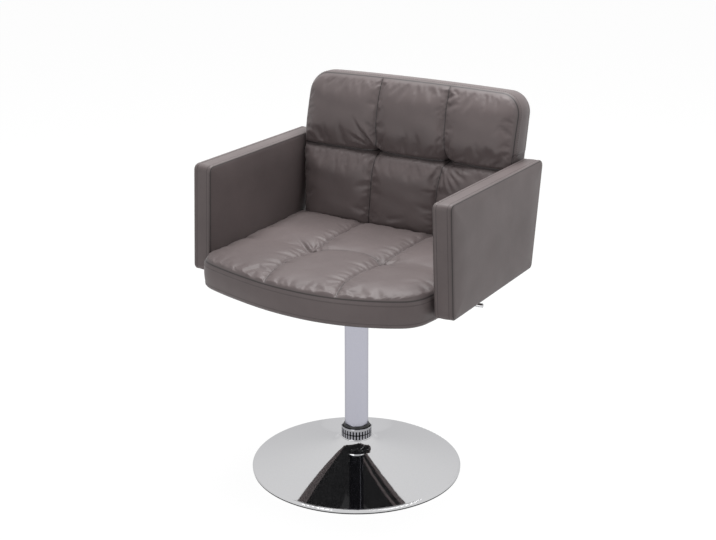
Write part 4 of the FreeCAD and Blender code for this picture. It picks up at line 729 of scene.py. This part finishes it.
def back_folds(x, z, sizes):
    """Depth of the fine seams, puckers and creases of the back's front."""
    depth = sizes.seam_depth * bell(seam_gap(x, z, BACK_SEAMS), sizes.seam_width)
    depth = depth + 2.0 * sizes.seam_depth * bell(z - BACK_CROSS, sizes.seam_width * 1.6)
    left, right = BACK_TUFTS
    for start, end, width, amount in (
            (left, (-0.126, 0.694), 0.0038, 0.0075),
            (left, (-0.108, 0.690), 0.0032, 0.0045),
            (left, (-0.140, 0.660), 0.0042, 0.0050),
            (left, (-0.150, 0.634), 0.0036, 0.0036),
            (left, (-0.034, 0.668), 0.0044, 0.0034),
            (left, (-0.104, 0.585), 0.0044, 0.0034),
            (left, (-0.036, 0.575), 0.0044, 0.0034),
            (left, (-0.072, 0.560), 0.0036, 0.0026),
            (right, (0.114, 0.686), 0.0042, 0.0044),
            (right, (0.072, 0.676), 0.0044, 0.0036),
            (right, (0.156, 0.645), 0.0040, 0.0036),
            (right, (0.182, 0.606), 0.0040, 0.0060),
            (right, (0.168, 0.584), 0.0038, 0.0070),
            (right, (0.150, 0.566), 0.0040, 0.0070),
            (right, (0.130, 0.556), 0.0038, 0.0060),
            (right, (0.106, 0.552), 0.0038, 0.0040),
            (right, (0.062, 0.566), 0.0044, 0.0036),
            ((0.086, 0.742), (0.114, 0.758), 0.0036, 0.0034),
            ((0.090, 0.728), (0.134, 0.742), 0.0044, 0.0022),
            ((0.020, 0.474), (0.070, 0.462), 0.0044, 0.0026),
            ((-0.020, 0.486), (0.030, 0.498), 0.0050, 0.0018),
            ((-0.226, 0.655), (-0.190, 0.640), 0.0050, 0.0014),
            ((0.228, 0.648), (0.190, 0.636), 0.0050, 0.0014)):
        depth = depth + crease(x, z, start, end, width, amount)
    return depth + 0.0032 * np.exp(-spot_gap(x, z, BACK_TUFTS) / 0.006)


def beside_arms(points):
    """Points drawn in so that they stay clear of the arms' inner faces below their tops."""
    inner = ARM_INNER - 0.0006 + np.maximum(ARM_TOP - points[..., 2], 0) * math.tan(ARM_SPLAY)
    limit = inner + 0.02 * ease((points[..., 2] - ARM_TOP - 0.004) / 0.03)
    x = points[..., 0]
    drawn = points.copy()
    drawn[..., 0] = np.sign(x) * np.minimum(np.abs(x), limit)
    return drawn


def back_shape(columns, rows, sizes, share):
    """Front and rear grids of the back and the front's distance from its edge."""
    edges, finer = (rounded_edges(BACK_HALF, BACK_HALF, BACK_BOTTOM, BACK_TOP, BACK_TURN_LOW,
                                  BACK_TURN_HIGH, columns * times, rows * times)
                    for times in (1, 2))
    front, edge = plan_grid(edges, finer)
    x, z = front[..., 0], front[..., 1]
    swell = back_swell(x, z, edge, sizes, share)
    z = z - 0.0038 * (x / BACK_HALF) ** 2 * ease((z - 0.66) / 0.08)
    face = np.dstack([x, back_line(z) - swell, z])
    top_share = np.clip((z - BACK_BOTTOM) / (BACK_TOP - BACK_BOTTOM), 0, 1)
    low_z = z - 0.006 * top_share ** 3
    behind = rear_line(low_z) - 0.006 * ease((edge - 0.013) / 0.004)
    rear = np.dstack([x * 0.9925, behind, low_z])
    return beside_arms(face), beside_arms(rear), edge


def back_rim(front, rear, count):
    """Rings of the back's boxing, clear of the arms."""
    out = outward_of(grid_rim(front), (0, 2))
    return [beside_arms(ring) for ring in rim_rings(front, rear, count, 0.0046, out, 0.0010)]


class CHAIR_OT_back_pad(bpy.types.Operator):
    """Boxed back pad with rounded upper corners, a deep cross seam and two tufts"""
    bl_idname = "chair.back_pad"
    bl_label = "Back Pad"

    def execute(self, context):
        sizes = context.scene.chair_sizes
        columns, rows = int(0.48 / sizes.mesh_step), int(0.34 / sizes.mesh_step)
        front, rear, edge = back_shape(columns, rows, sizes, 1.0)
        soft, flat, gap = back_shape(columns // 2, rows // 2, sizes, PUFF_SHARE)
        x, z = soft[..., 0], soft[..., 2]
        sewn = SEWN_FAST * bell(seam_gap(x, z, BACK_SEAMS), 0.004)
        sewn = sewn + bell(z - BACK_CROSS, 0.006)
        sewn = sewn + np.exp(-spot_gap(x, z, BACK_TUFTS) / 0.012)
        loose = np.clip(1.0 - sewn, 0, 1) * (gap > 0.004)
        rings = back_rim(soft, flat, THIN_RIM_RINGS)
        front = front + swollen("back_try", soft, flat, rings, loose, BACK_PUFF, columns,
                                rows)
        x, z = front[..., 0], front[..., 2]
        inside = ease((edge - 0.001) / 0.004)
        front[..., 1] += back_folds(x, z, sizes) * inside
        front[..., 1] += sizes.seam_depth * bell(edge, 0.003)
        front[..., 1] += 0.0007 * ripples(x, z, 8, 0.060) * inside
        rings = back_rim(front, rear, BACK_RIM_RINGS)
        points, faces = closed_slab(front, rear, rings)
        pad = make_mesh("back_pad_cover", points, faces)
        mark_seams(pad, edge, BACK_RIM_RINGS, seam_side(x, z, BACK_SEAMS),
                   0.8 * (z - BACK_CROSS), 0.052)
        dress(pad, leather(context), "back_leather", "back_pad")
        sew(context, "back_stitches", [strip_path(front, rings, 1)], "back_leather")
        return {"FINISHED"}


class CHAIR_OT_rear_panel(bpy.types.Operator):
    """Thin padded panel that closes the rear of the back"""
    bl_idname = "chair.rear_panel"
    bl_label = "Rear Panel"

    def execute(self, context):
        edges = rounded_edges(REAR_HALF_LOW, BACK_HALF - REAR_INSET - 0.002, REAR_BOTTOM,
                              BACK_TOP - REAR_INSET, 0.006, 0.036, 110, 80)
        flat, edge = plan_grid(edges)
        x, z = flat[..., 0], flat[..., 1]
        behind = rear_line(z) + 0.001 + 0.0035 * rise(edge, 0.02) - 0.0012 * bell(edge, 0.002)
        rear = np.dstack([x, behind + 0.0005 * ripples(x, z, 5, 0.09) * ease(edge / 0.02), z])
        folded = REAR_TUCK * (1.0 - ease((z - REAR_BOTTOM) / 0.005))
        inner = np.dstack([x, rear_line(z) - 0.0075 - folded, z])
        rings = rim_rings(rear, inner, THIN_RIM_RINGS, 0.0012, outward_of(grid_rim(inner), (0, 2)))
        points, faces = closed_slab(rear, inner, rings)
        panel = make_mesh("back_rear_cover", points, faces)
        mark_seams(panel, edge, THIN_RIM_RINGS)
        dress(panel, leather(context), "back_leather", "back_rear_panel")
        return {"FINISHED"}


# Arms

def arm_frame(side, across, along, height):
    """Points of an arm from its own directions: outward, rearward and up from its top."""
    lean_c, lean_s = math.cos(ARM_SPLAY), math.sin(ARM_SPLAY)
    x = side * (ARM_INNER + across * lean_c - height * lean_s)
    z = ARM_TOP + height * lean_c + across * lean_s
    return np.stack([x, along, z], axis=-1)


def arm_edges(columns, rows):
    """Edge curves of an arm's side view: a front edge, top, leaning rear and bottom."""
    corners = np.array(ARM_CORNERS)
    rounded = []
    for number, corner in enumerate(corners):
        before = corners[number - 1] - corner
        after = corners[(number + 1) % 4] - corner
        before /= np.linalg.norm(before)
        after /= np.linalg.norm(after)
        half = math.acos(float(np.clip(before @ after, -1, 1))) / 2
        reach = ARM_TURN / math.tan(half)
        middle = (before + after) / np.linalg.norm(before + after)
        centre = corner + middle * ARM_TURN / math.sin(half)
        first = corner + before * reach - centre
        last = corner + after * reach - centre
        start = math.degrees(math.atan2(first[1], first[0]))
        end = math.degrees(math.atan2(last[1], last[0]))
        if end < start:
            end += 360
        rounded.append(arc(centre, ARM_TURN, start, end, 25))
    low_front, low_rear, top_rear, top_front = rounded
    south = np.concatenate([low_front[12:], low_rear[:13]])
    east = np.concatenate([low_rear[12:], top_rear[:13]])
    north = np.concatenate([top_rear[12:], top_front[:13]])[::-1]
    west = np.concatenate([top_front[12:], low_front[:13]])[::-1]
    return edge_curves(south, north, west, east, columns, rows)


def arm_cover(side, sizes):
    """Points and faces of one arm's cover, its seam distances, outer grid and rim rings."""
    columns, rows = int(0.40 / sizes.mesh_step), int(0.22 / sizes.mesh_step)
    plan, edge = plan_grid(arm_edges(columns, rows))
    along, height = plan[..., 0], plan[..., 1]
    pillow = 0.0034 * rise(edge, 0.048, 0.9) - 0.0009 * bell(edge, 0.0022)
    wave = 0.0005 * ripples(along, height, 11 + side, 0.085) * ease(edge / 0.02)
    inner = arm_frame(side, 0.0022 - (pillow + wave) * 0.75, along, height)
    outer = arm_frame(side, ARM_THICKNESS - 0.0003 + pillow + wave, along, height)
    out = outward_of(np.insert(grid_rim(plan), 0, 0.0, axis=1), (1, 2))
    rings = rim_rings(outer, inner, RIM_RINGS, 0.0022, out, 0.0014)
    points, faces = closed_slab(outer, inner, rings)
    return points, faces, edge, outer, rings


class CHAIR_OT_arms(bpy.types.Operator):
    """Two upholstered slab arms with seams round both faces"""
    bl_idname = "chair.arms"
    bl_label = "Arms"

    def execute(self, context):
        sizes = context.scene.chair_sizes
        for side, word in ((-1, "left"), (1, "right")):
            points, faces, edge, outer, rings = arm_cover(side, sizes)
            arm = make_mesh("arm_cover_" + word, points, faces)
            mark_seams(arm, edge, RIM_RINGS)
            dress(arm, leather(context), "arm_leather", "arm_pad_" + word,
                  "arm_inner_panel_" + word)
            paths = [strip_path(outer, rings, number) for number in (2, 11)]
            sew(context, "arm_stitches_" + word, paths, "arm_leather")
        return {"FINISHED"}


# Materials

def node_group(name, inputs, outputs):
    """New node group with named inputs and outputs, its incoming values and its output node."""
    group = bpy.data.node_groups.new(name, "ShaderNodeTree")
    for label, kind, default in inputs:
        made = group.interface.new_socket(name=label, in_out="INPUT", socket_type=kind)
        if default is not None:
            made.default_value = default
    for label in outputs:
        group.interface.new_socket(name=label, in_out="OUTPUT", socket_type="NodeSocketFloat")
    into = group.nodes.new("NodeGroupInput").outputs
    return group, into, group.nodes.new("NodeGroupOutput")


def feed(tree, node, inputs):
    """Set a node's inputs to values, or link them to other nodes' outputs."""
    for name, source in inputs.items():
        if isinstance(source, bpy.types.NodeSocket):
            tree.links.new(source, node.inputs[name])
        else:
            node.inputs[name].default_value = source
    return node


def add_node(tree, kind, inputs, **settings):
    """New shader node with its settings and then its inputs."""
    node = tree.nodes.new("ShaderNode" + kind)
    for name, setting in settings.items():
        setattr(node, name, setting)
    return feed(tree, node, inputs)


def maths(tree, operation, *sources):
    """Result of a math node on values or other nodes' outputs."""
    return add_node(tree, "Math", dict(enumerate(sources)), operation=operation).outputs[0]


def noise(tree, place, scale, detail=2.0, **more):
    """Noise texture at a place; more holds its further inputs."""
    inputs = {"Vector": place, "Scale": scale, "Detail": detail, **more}
    return add_node(tree, "TexNoise", inputs).outputs


def hide_group():
    """Node group of a hide's grain: pebbles, pores and a slow change of tone."""
    found = bpy.data.node_groups.get("hide_grain")
    if found:
        return found
    group, into, out = node_group(
        "hide_grain", (("Place", "NodeSocketVector", None), ("Pebbles", "NodeSocketFloat", 600.0)),
        ("Height", "Tone"))
    place = into["Place"]
    warp = noise(group, place, 190.0)["Color"]
    bend = add_node(group, "VectorMath", {0: warp, 1: (0.0012, 0.0012, 0.0012), 2: place},
                    operation="MULTIPLY_ADD")
    pebbles = add_node(group, "TexVoronoi", {"Vector": bend.outputs["Vector"],
                                             "Scale": into["Pebbles"], "Smoothness": 0.35},
                       feature="SMOOTH_F1")
    pores = noise(group, place, 1700.0, 3.0)["Fac"]
    dome = maths(group, "MULTIPLY_ADD", pebbles.outputs["Distance"], -1.0, 1.0)
    slow = noise(group, place, 9.0, 5.0, Roughness=0.62)["Fac"]
    feed(group, out, {"Height": maths(group, "MULTIPLY_ADD", pores, 0.35, dome), "Tone": slow})
    return group


def scuff_group():
    """Node group of polished or painted metal: hairlines, smudges and a slow unevenness."""
    found = bpy.data.node_groups.get("metal_scuffs")
    if found:
        return found
    group, into, out = node_group(
        "metal_scuffs", (("Place", "NodeSocketVector", None), ("Smooth", "NodeSocketFloat", 0.05),
                         ("Smudge", "NodeSocketFloat", 0.03)), ("Roughness", "Height"))
    smudge = noise(group, into["Place"], 28.0, 4.0)["Fac"]
    hair = noise(group, into["Place"], 900.0, 3.0)["Fac"]
    rough = maths(group, "MULTIPLY_ADD", smudge, into["Smudge"], into["Smooth"])
    feed(group, out, {"Roughness": rough, "Height": hair})
    return group


def blank_material(name):
    """New node material, its node tree and its Principled shader."""
    material = bpy.data.materials.new(name)
    material.use_nodes = True
    return material, material.node_tree, material.node_tree.nodes["Principled BSDF"]


def object_place(tree):
    """Object coordinates, which are metres on every piece."""
    return add_node(tree, "TexCoord", {}).outputs["Object"]


def ramp(tree, source, stops):
    """Colour ramp on a mask, from (position, colour) pairs."""
    node = add_node(tree, "ValToRGB", {"Fac": source})
    band = node.color_ramp.elements
    for element, (position, colour) in zip(band, (stops[0], stops[-1])):
        element.position = position
        element.color = (*colour, 1)
    for position, colour in stops[1:-1]:
        band.new(position).color = (*colour, 1)
    return node.outputs["Color"]


def bump(tree, height, strength, distance):
    """Normals that follow a height mask, for relief too fine for the mesh."""
    inputs = {"Strength": strength, "Distance": distance, "Height": height}
    return add_node(tree, "Bump", inputs).outputs["Normal"]


def shade(colour, amount):
    """Colour made darker or lighter, up to full white in each part."""
    return tuple(min(1.0, part * amount) for part in colour)


def apart(tree, vector):
    """The X, Y and Z outputs of a vector."""
    return add_node(tree, "SeparateXYZ", {"Vector": vector}).outputs


def stitch_distance(tree, stored, offset):
    """Distance in metres from the topstitching, which runs beside the outer seam on the rim."""
    return maths(tree, "ABSOLUTE", maths(tree, "ADD", apart(tree, stored)["X"], offset))


def seam_distance(tree, stored):
    """Distance in metres from the nearest seam, from the mesh's three stored distances."""
    positive = add_node(tree, "VectorMath", {0: stored}, operation="ABSOLUTE")
    parts = apart(tree, positive.outputs["Vector"])
    return maths(tree, "MINIMUM", maths(tree, "MINIMUM", parts["X"], parts["Y"]), parts["Z"])


def falloff(tree, distance, near, far):
    """Mask: 1 up to the near distance, 0 from the far one on."""
    inputs = {"From Min": near, "From Max": far, "To Min": 1.0, "To Max": 0.0, "Value": distance}
    node = add_node(tree, "MapRange", inputs, interpolation_type="SMOOTHSTEP")
    return node.outputs["Result"]


def darkened(tree, colour, mask, amount):
    """Colour multiplied by a grey where the mask is 1."""
    inputs = {"B": (amount, amount, amount, 1), "Factor": mask, "A": colour}
    node = add_node(tree, "Mix", inputs, data_type="RGBA", blend_type="MULTIPLY")
    return node.outputs["Result"]


def leather(context):
    """Satin leather: pebble grain, uneven tone, and painted shade in and beside the seams and along
    the topstitching.
    """
    found = bpy.data.materials.get("taupe_leather")
    if found:
        return found
    colours, sizes = context.scene.chair_colours, context.scene.chair_sizes
    material, tree, shader = blank_material("taupe_leather")
    grain = add_node(tree, "Group", {"Pebbles": sizes.grain_scale, "Place": object_place(tree)},
                     node_tree=hide_group()).outputs
    base = tuple(colours.leather)
    tone = ramp(tree, grain["Tone"],
                ((0.30, shade(base, 0.90)), (0.50, base), (0.72, shade(base, 1.10))))
    stored = add_node(tree, "Attribute", {}, attribute_name="seams").outputs["Vector"]
    gap = seam_distance(tree, stored)
    # Painted shade: within 6 mm of any seam the leather is darkened to 0.80, for the shade in the
    # seam's hollow.
    painted_seam_shade = darkened(tree, tone, falloff(tree, gap, 0.0, 0.006), 0.80)
    # Painted shade: a thin line, down to 0.28, in the crevice where two panels meet.
    painted_crevice_shade = darkened(tree, painted_seam_shade, falloff(tree, gap, 0.35 * sizes.seam_line, sizes.seam_line),
                     0.28)
    row = stitch_distance(tree, stored, sizes.stitch_inset)
    # Painted shade: a band, down to 0.66, along the topstitching on the rim, for the small groove
    # that the stitches pull in.
    painted_stitch_shade = darkened(tree, painted_crevice_shade, falloff(tree, row, 0.0003, 0.0014), 0.66)
    rough = add_node(tree, "MapRange", {"To Min": 0.56, "To Max": 0.44, "Value": grain["Tone"]})
    feed(tree, shader, {
        "Base Color": painted_stitch_shade, "Roughness": rough.outputs["Result"],
        "Normal": bump(tree, grain["Height"], 0.35, 0.00012), "Specular IOR Level": 0.42,
        "Sheen Weight": 0.08, "Sheen Roughness": 0.45})
    return material


def thread_material(context):
    """Twisted sewing thread, a little darker than the leather."""
    found = bpy.data.materials.get("sewing_thread")
    if found:
        return found
    material, tree, shader = blank_material("sewing_thread")
    twist = noise(tree, object_place(tree), 2600.0)["Fac"]
    base = tuple(context.scene.chair_colours.thread)
    tone = ramp(tree, twist, ((0.3, shade(base, 0.8)), (0.7, shade(base, 1.25))))
    feed(tree, shader, {"Base Color": tone, "Roughness": 0.7})
    return material


def metal(name, colour, smooth, smudge, metallic=1.0, relief=0.02):
    """Polished, brushed or painted metal with smudges and hairlines."""
    material, tree, shader = blank_material(name)
    inputs = {"Smooth": smooth, "Smudge": smudge, "Place": object_place(tree)}
    scuffs = add_node(tree, "Group", inputs, node_tree=scuff_group()).outputs
    tone = ramp(tree, scuffs["Height"], ((0.35, shade(colour, 0.95)), (0.65, shade(colour, 1.03))))
    feed(tree, shader, {
        "Base Color": tone, "Roughness": scuffs["Roughness"], "Metallic": metallic,
        "Normal": bump(tree, scuffs["Height"], relief, 0.00002)})
    if metallic:
        shader.inputs["Specular Tint"].default_value = (0.70, 0.70, 0.71, 1)
    return material


def knurl(name, colour, count, middle):
    """Chrome ring with painted shade in its upright grooves and in one groove round its middle.

    Each groove is where the angle about Z, counted in grooves, is near a whole number.
    """
    material = metal(name, colour, 0.10, 0.05)
    tree = material.node_tree
    target = tree.nodes["Principled BSDF"].inputs["Base Color"]
    parts = apart(tree, object_place(tree))
    turn = maths(tree, "ARCTAN2", parts["Y"], parts["X"])
    across = maths(tree, "PINGPONG", maths(tree, "MULTIPLY", turn, count / math.tau), 0.5)
    level = maths(tree, "ABSOLUTE", maths(tree, "SUBTRACT", parts["Z"], middle))
    # Painted shade: the upright grooves are darkened to 0.04 and the middle groove to 0.08.
    painted_groove_shade = darkened(tree, target.links[0].from_socket, falloff(tree, across, 0.14, 0.30), 0.04)
    tree.links.new(darkened(tree, painted_groove_shade, falloff(tree, level, 0.0007, 0.0015), 0.08), target)
    return material


def soft_black(name, colour, roughness, scale, relief):
    """Rubber, moulded plastic or thin cloth with a fine even texture."""
    material, tree, shader = blank_material(name)
    speck = noise(tree, object_place(tree), scale, 4.0)["Fac"]
    tone = ramp(tree, speck, ((0.3, shade(colour, 0.8)), (0.7, shade(colour, 1.3))))
    feed(tree, shader, {"Base Color": tone, "Normal": bump(tree, speck, relief, 0.0001),
                        "Roughness": roughness})
    return material


def timber(name, colour):
    """Bare wood: long grain lines stretched along X over a slow change of tone."""
    material, tree, shader = blank_material(name)
    stretched = add_node(tree, "Mapping", {"Scale": (6.0, 90.0, 90.0),
                                           "Vector": object_place(tree)}).outputs["Vector"]
    rings = noise(tree, stretched, 1.5, 6.0, Distortion=0.6)["Fac"]
    tone = ramp(tree, rings, ((0.3, shade(colour, 0.72)), (0.5, colour),
                              (0.7, shade(colour, 1.15))))
    feed(tree, shader, {"Base Color": tone, "Normal": bump(tree, rings, 0.2, 0.0002),
                        "Roughness": 0.62})
    return material


def paint_nodes(material, *names):
    """Put one material on carried-over CAD nodes."""
    for name in names:
        mesh = NODES[name].data
        mesh.materials.clear()
        mesh.materials.append(material)


class CHAIR_OT_metalwork(bpy.types.Operator):
    """Chrome on the base, collar, column and lever, and rubber under the rim"""
    bl_idname = "chair.metalwork"
    bl_label = "Metalwork"

    def execute(self, context):
        colours = context.scene.chair_colours
        chrome = tuple(colours.chrome)
        paint_nodes(metal("base_chrome", chrome, 0.025, 0.03), "base_shell")
        paint_nodes(metal("trim_chrome", shade(chrome, 0.97), 0.04, 0.03), "neck_lip_ring",
                    "collar_cup")
        # The column's chrome is a darker, bluer copy of the base's chrome: painted dark reflection
        # of the black underside above it.
        paint_nodes(metal("column_chrome", (0.45, 0.45, 0.51), 0.07, 0.04), "stand_tube")
        low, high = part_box("knurled_ring")
        paint_nodes(knurl("knurl_chrome", (0.52, 0.52, 0.55), 30, (low[2] + high[2]) / 2),
                    "knurled_ring")
        paint_nodes(metal("lever_chrome", shade(chrome, 0.95), 0.09, 0.05), "lever_rod")
        rubber = soft_black("black_rubber", tuple(colours.rubber), 0.6, 700.0, 0.2)
        paint_nodes(rubber, "floor_pad", "bump_washer")
        plastic = soft_black("black_plastic", tuple(colours.rubber), 0.42, 1100.0, 0.12)
        paint_nodes(plastic, "tube_seal", "guide_bush", "piston_head")
        return {"FINISHED"}


class CHAIR_OT_hardware(bpy.types.Operator):
    """Paint, zinc, steel, brass and wood on the parts under and inside the seat"""
    bl_idname = "chair.hardware"
    bl_label = "Hardware"

    def execute(self, context):
        colours = context.scene.chair_colours
        paint = metal("black_powder_coat", (0.018, 0.018, 0.019), 0.42, 0.12, 0.0, 0.25)
        paint_nodes(paint, "seat_plate", "taper_socket", "back_bracket_left",
                    "back_bracket_right", "ballast_plate", "base_hub")
        paint_nodes(metal("cylinder_paint", (0.014, 0.014, 0.015), 0.22, 0.08, 0.0, 0.05),
                    "gas_cylinder")
        paint_nodes(metal("zinc_plate", (0.56, 0.57, 0.58), 0.30, 0.12), "plate_screws",
                    "plate_tee_nuts", "bracket_screws", "lever_pin", "hub_screws",
                    "arm_bolts_left", "arm_bolts_right", "arm_inserts_left",
                    "arm_inserts_right")
        paint_nodes(metal("ground_steel", (0.50, 0.51, 0.52), 0.20, 0.10), "piston_rod",
                    "rod_clip", "cylinder_gland", "valve_pin", "tube_foot",
                    "bearing_lower_race", "bearing_upper_race", "bearing_balls")
        paint_nodes(metal("brass_cage", (0.60, 0.44, 0.18), 0.30, 0.10), "bearing_cage")
        wood = tuple(colours.wood)
        paint_nodes(timber("plywood", wood), "seat_board", "back_board", "arm_board_left",
                    "arm_board_right")
        paint_nodes(timber("beech", shade(wood, 1.05)), "seat_rail_left", "seat_rail_right")
        return {"FINISHED"}


def cloth_plan(columns, rows):
    """Edge curves of the cloth under the seat board: a bowed front and cut front corners."""
    centre, radius, half = CLOTH_BOW
    bow = arc((0.0, centre), radius, 270 - half, 270 + half, 60)
    side = np.array([bow[-1], CLOTH_CORNER, (CLOTH_CORNER[0], CLOTH_REAR)])
    rear = np.array([(-CLOTH_CORNER[0], CLOTH_REAR), (CLOTH_CORNER[0], CLOTH_REAR)])
    return edge_curves(bow, rear, side * (-1, 1), side, columns, rows)


class CHAIR_OT_underside_cloth(bpy.types.Operator):
    """Thin black cloth stretched and stapled under the seat board"""
    bl_idname = "chair.underside_cloth"
    bl_label = "Underside Cloth"

    def execute(self, context):
        plan, edge = plan_grid(cloth_plan(96, 86))
        x, y = plan[..., 0], plan[..., 1]
        sag = 0.0003 * ripples(x, y, 21, 0.07) * ease(edge / 0.04)
        under = np.dstack([x, y, CLOTH_BOTTOM + 0.0004 - sag])
        over = np.dstack([x, y, CLOTH_BOTTOM + 0.0012 - sag])
        out = outward_of(grid_rim(under), (0, 1))
        points, faces = closed_slab(over, under, rim_rings(over, under, 3, 0.0002, out))
        cloth = make_mesh("underside_cloth", points, faces)
        colour = tuple(context.scene.chair_colours.rubber)
        dress(cloth, soft_black("black_cloth", colour, 0.9, 1500.0, 0.4), "black_cloth",
              "underside_cover")
        return {"FINISHED"}


# Studio

CAMERA_PLACE = (1.4133, -2.3850, 1.3948)
CAMERA_TURN = (math.radians(90 - 19.2322), 0.0, math.radians(30.5886))
CAMERA_LENS = 74.5
FLOOR_REACH = 14.0
FLOOR_GLOW = 0.965
WORLD_LIGHT = 0.12
WHITE = (1, 1, 1, 1)


def lamp(name, place, target, size, watts):
    """Soft white light that points from its place to a target."""
    light = bpy.data.lights.new(name, "AREA")
    light.shape = "RECTANGLE"
    light.size, light.size_y = size
    light.energy = watts
    holder = bpy.data.objects.new(name, light)
    bpy.context.scene.collection.objects.link(holder)
    holder.location = place
    away = np.array(place) - np.array(target)
    turn_z = math.atan2(away[1], away[0]) + math.pi / 2
    tilt = math.atan2(math.hypot(away[0], away[1]), away[2])
    holder.rotation_euler = (tilt, 0.0, turn_z)


def seen_directly(tree):
    """1 for rays from the camera, off a mirror or through glass, else 0."""
    path = add_node(tree, "LightPath", {}).outputs
    first = maths(tree, "MAXIMUM", path["Is Camera Ray"], path["Is Glossy Ray"])
    return maths(tree, "MAXIMUM", first, path["Is Transmission Ray"])


def two_ways(tree, output, plain, seen):
    """Show one shader to the light and another to the eye."""
    mix = add_node(tree, "MixShader", {"Fac": seen_directly(tree), 1: plain.outputs[0],
                                       2: seen.outputs[0]})
    add_node(tree, output, {"Surface": mix.outputs[0]})


def floor_material():
    """Pale floor that reads white where it is lit and keeps the chair's shadow."""
    material = bpy.data.materials.new("pale_floor")
    material.use_nodes = True
    tree = material.node_tree
    tree.nodes.clear()
    plain = add_node(tree, "BsdfDiffuse", {"Color": (0.82, 0.82, 0.82, 1)})
    shadow = add_node(tree, "BsdfDiffuse", {"Color": (0.10, 0.10, 0.10, 1)})
    glow = add_node(tree, "Emission", {"Color": WHITE, "Strength": FLOOR_GLOW})
    total = add_node(tree, "AddShader", {0: shadow.outputs[0], 1: glow.outputs[0]})
    two_ways(tree, "OutputMaterial", plain, total)
    return material


def studio_world():
    """World that lights softly and looks white to the camera and in the chrome."""
    world = bpy.data.worlds.new("studio")
    bpy.context.scene.world = world
    world.use_nodes = True
    tree = world.node_tree
    tree.nodes.clear()
    soft = add_node(tree, "Background", {"Color": WHITE, "Strength": WORLD_LIGHT})
    white = add_node(tree, "Background", {"Color": WHITE, "Strength": 1.0})
    two_ways(tree, "OutputWorld", soft, white)


class CHAIR_OT_stage(bpy.types.Operator):
    """White floor and world, soft lamps and the camera"""
    bl_idname = "chair.stage"
    bl_label = "Stage"

    def execute(self, context):
        scene = context.scene
        scene.view_settings.view_transform = "Standard"
        reach = FLOOR_REACH
        corners = np.array([(-reach, -reach, 0), (reach, -reach, 0), (reach, reach, 0),
                            (-reach, reach, 0)], float)
        floor = make_mesh("floor", corners, np.array([[0, 1, 2, 3]]), smooth=False)
        floor.data.materials.append(floor_material())
        studio_world()
        lamp("top_light", (0.0, 0.60, 2.7), (0, 0.2, 0.4), (1.9, 1.9), 73)
        lamp("right_light", (2.6, -0.4, 1.2), (0, 0, 0.5), (1.6, 1.6), 7)
        lamp("front_light", (-0.3, -3.0, 0.95), (0, 0, 0.5), (1.9, 1.4), 17)
        camera = bpy.data.cameras.new("camera")
        camera.lens = CAMERA_LENS
        camera.clip_end = 50.0
        holder = bpy.data.objects.new("camera", camera)
        scene.collection.objects.link(holder)
        holder.location = CAMERA_PLACE
        holder.rotation_euler = CAMERA_TURN
        scene.camera = holder
        return {"FINISHED"}


class CHAIR_PT_tools(bpy.types.Panel):
    """Sizes, colours and one button for each group of pieces"""
    bl_idname = "CHAIR_PT_tools"
    bl_label = "Swivel Chair"
    bl_space_type = "VIEW_3D"
    bl_region_type = "UI"
    bl_category = "Chair"

    def draw(self, context):
        layout = self.layout
        for group in (context.scene.chair_sizes, context.scene.chair_colours):
            column = layout.column(align=True)
            for name in group.__annotations__:
                column.prop(group, name)
        for operator in OPERATORS:
            layout.operator(operator.bl_idname)


OPERATORS = (CHAIR_OT_seat_cushion, CHAIR_OT_back_pad, CHAIR_OT_rear_panel, CHAIR_OT_arms,
             CHAIR_OT_underside_cloth, CHAIR_OT_metalwork, CHAIR_OT_hardware, CHAIR_OT_stage)
CLASSES = (ChairSizes, ChairColours, *OPERATORS, CHAIR_PT_tools)


def register():
    for item in CLASSES:
        bpy.utils.register_class(item)
    bpy.types.Scene.chair_sizes = PointerProperty(type=ChairSizes)
    bpy.types.Scene.chair_colours = PointerProperty(type=ChairColours)


def unregister():
    del bpy.types.Scene.chair_colours
    del bpy.types.Scene.chair_sizes
    for item in reversed(CLASSES):
        bpy.utils.unregister_class(item)


def main():
    """Register the add-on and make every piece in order."""
    register()
    bpy.ops.chair.seat_cushion()
    bpy.ops.chair.back_pad()
    bpy.ops.chair.rear_panel()
    bpy.ops.chair.arms()
    bpy.ops.chair.underside_cloth()
    bpy.ops.chair.metalwork()
    bpy.ops.chair.hardware()
    bpy.ops.chair.stage()


if __name__ == "__main__":
    main()
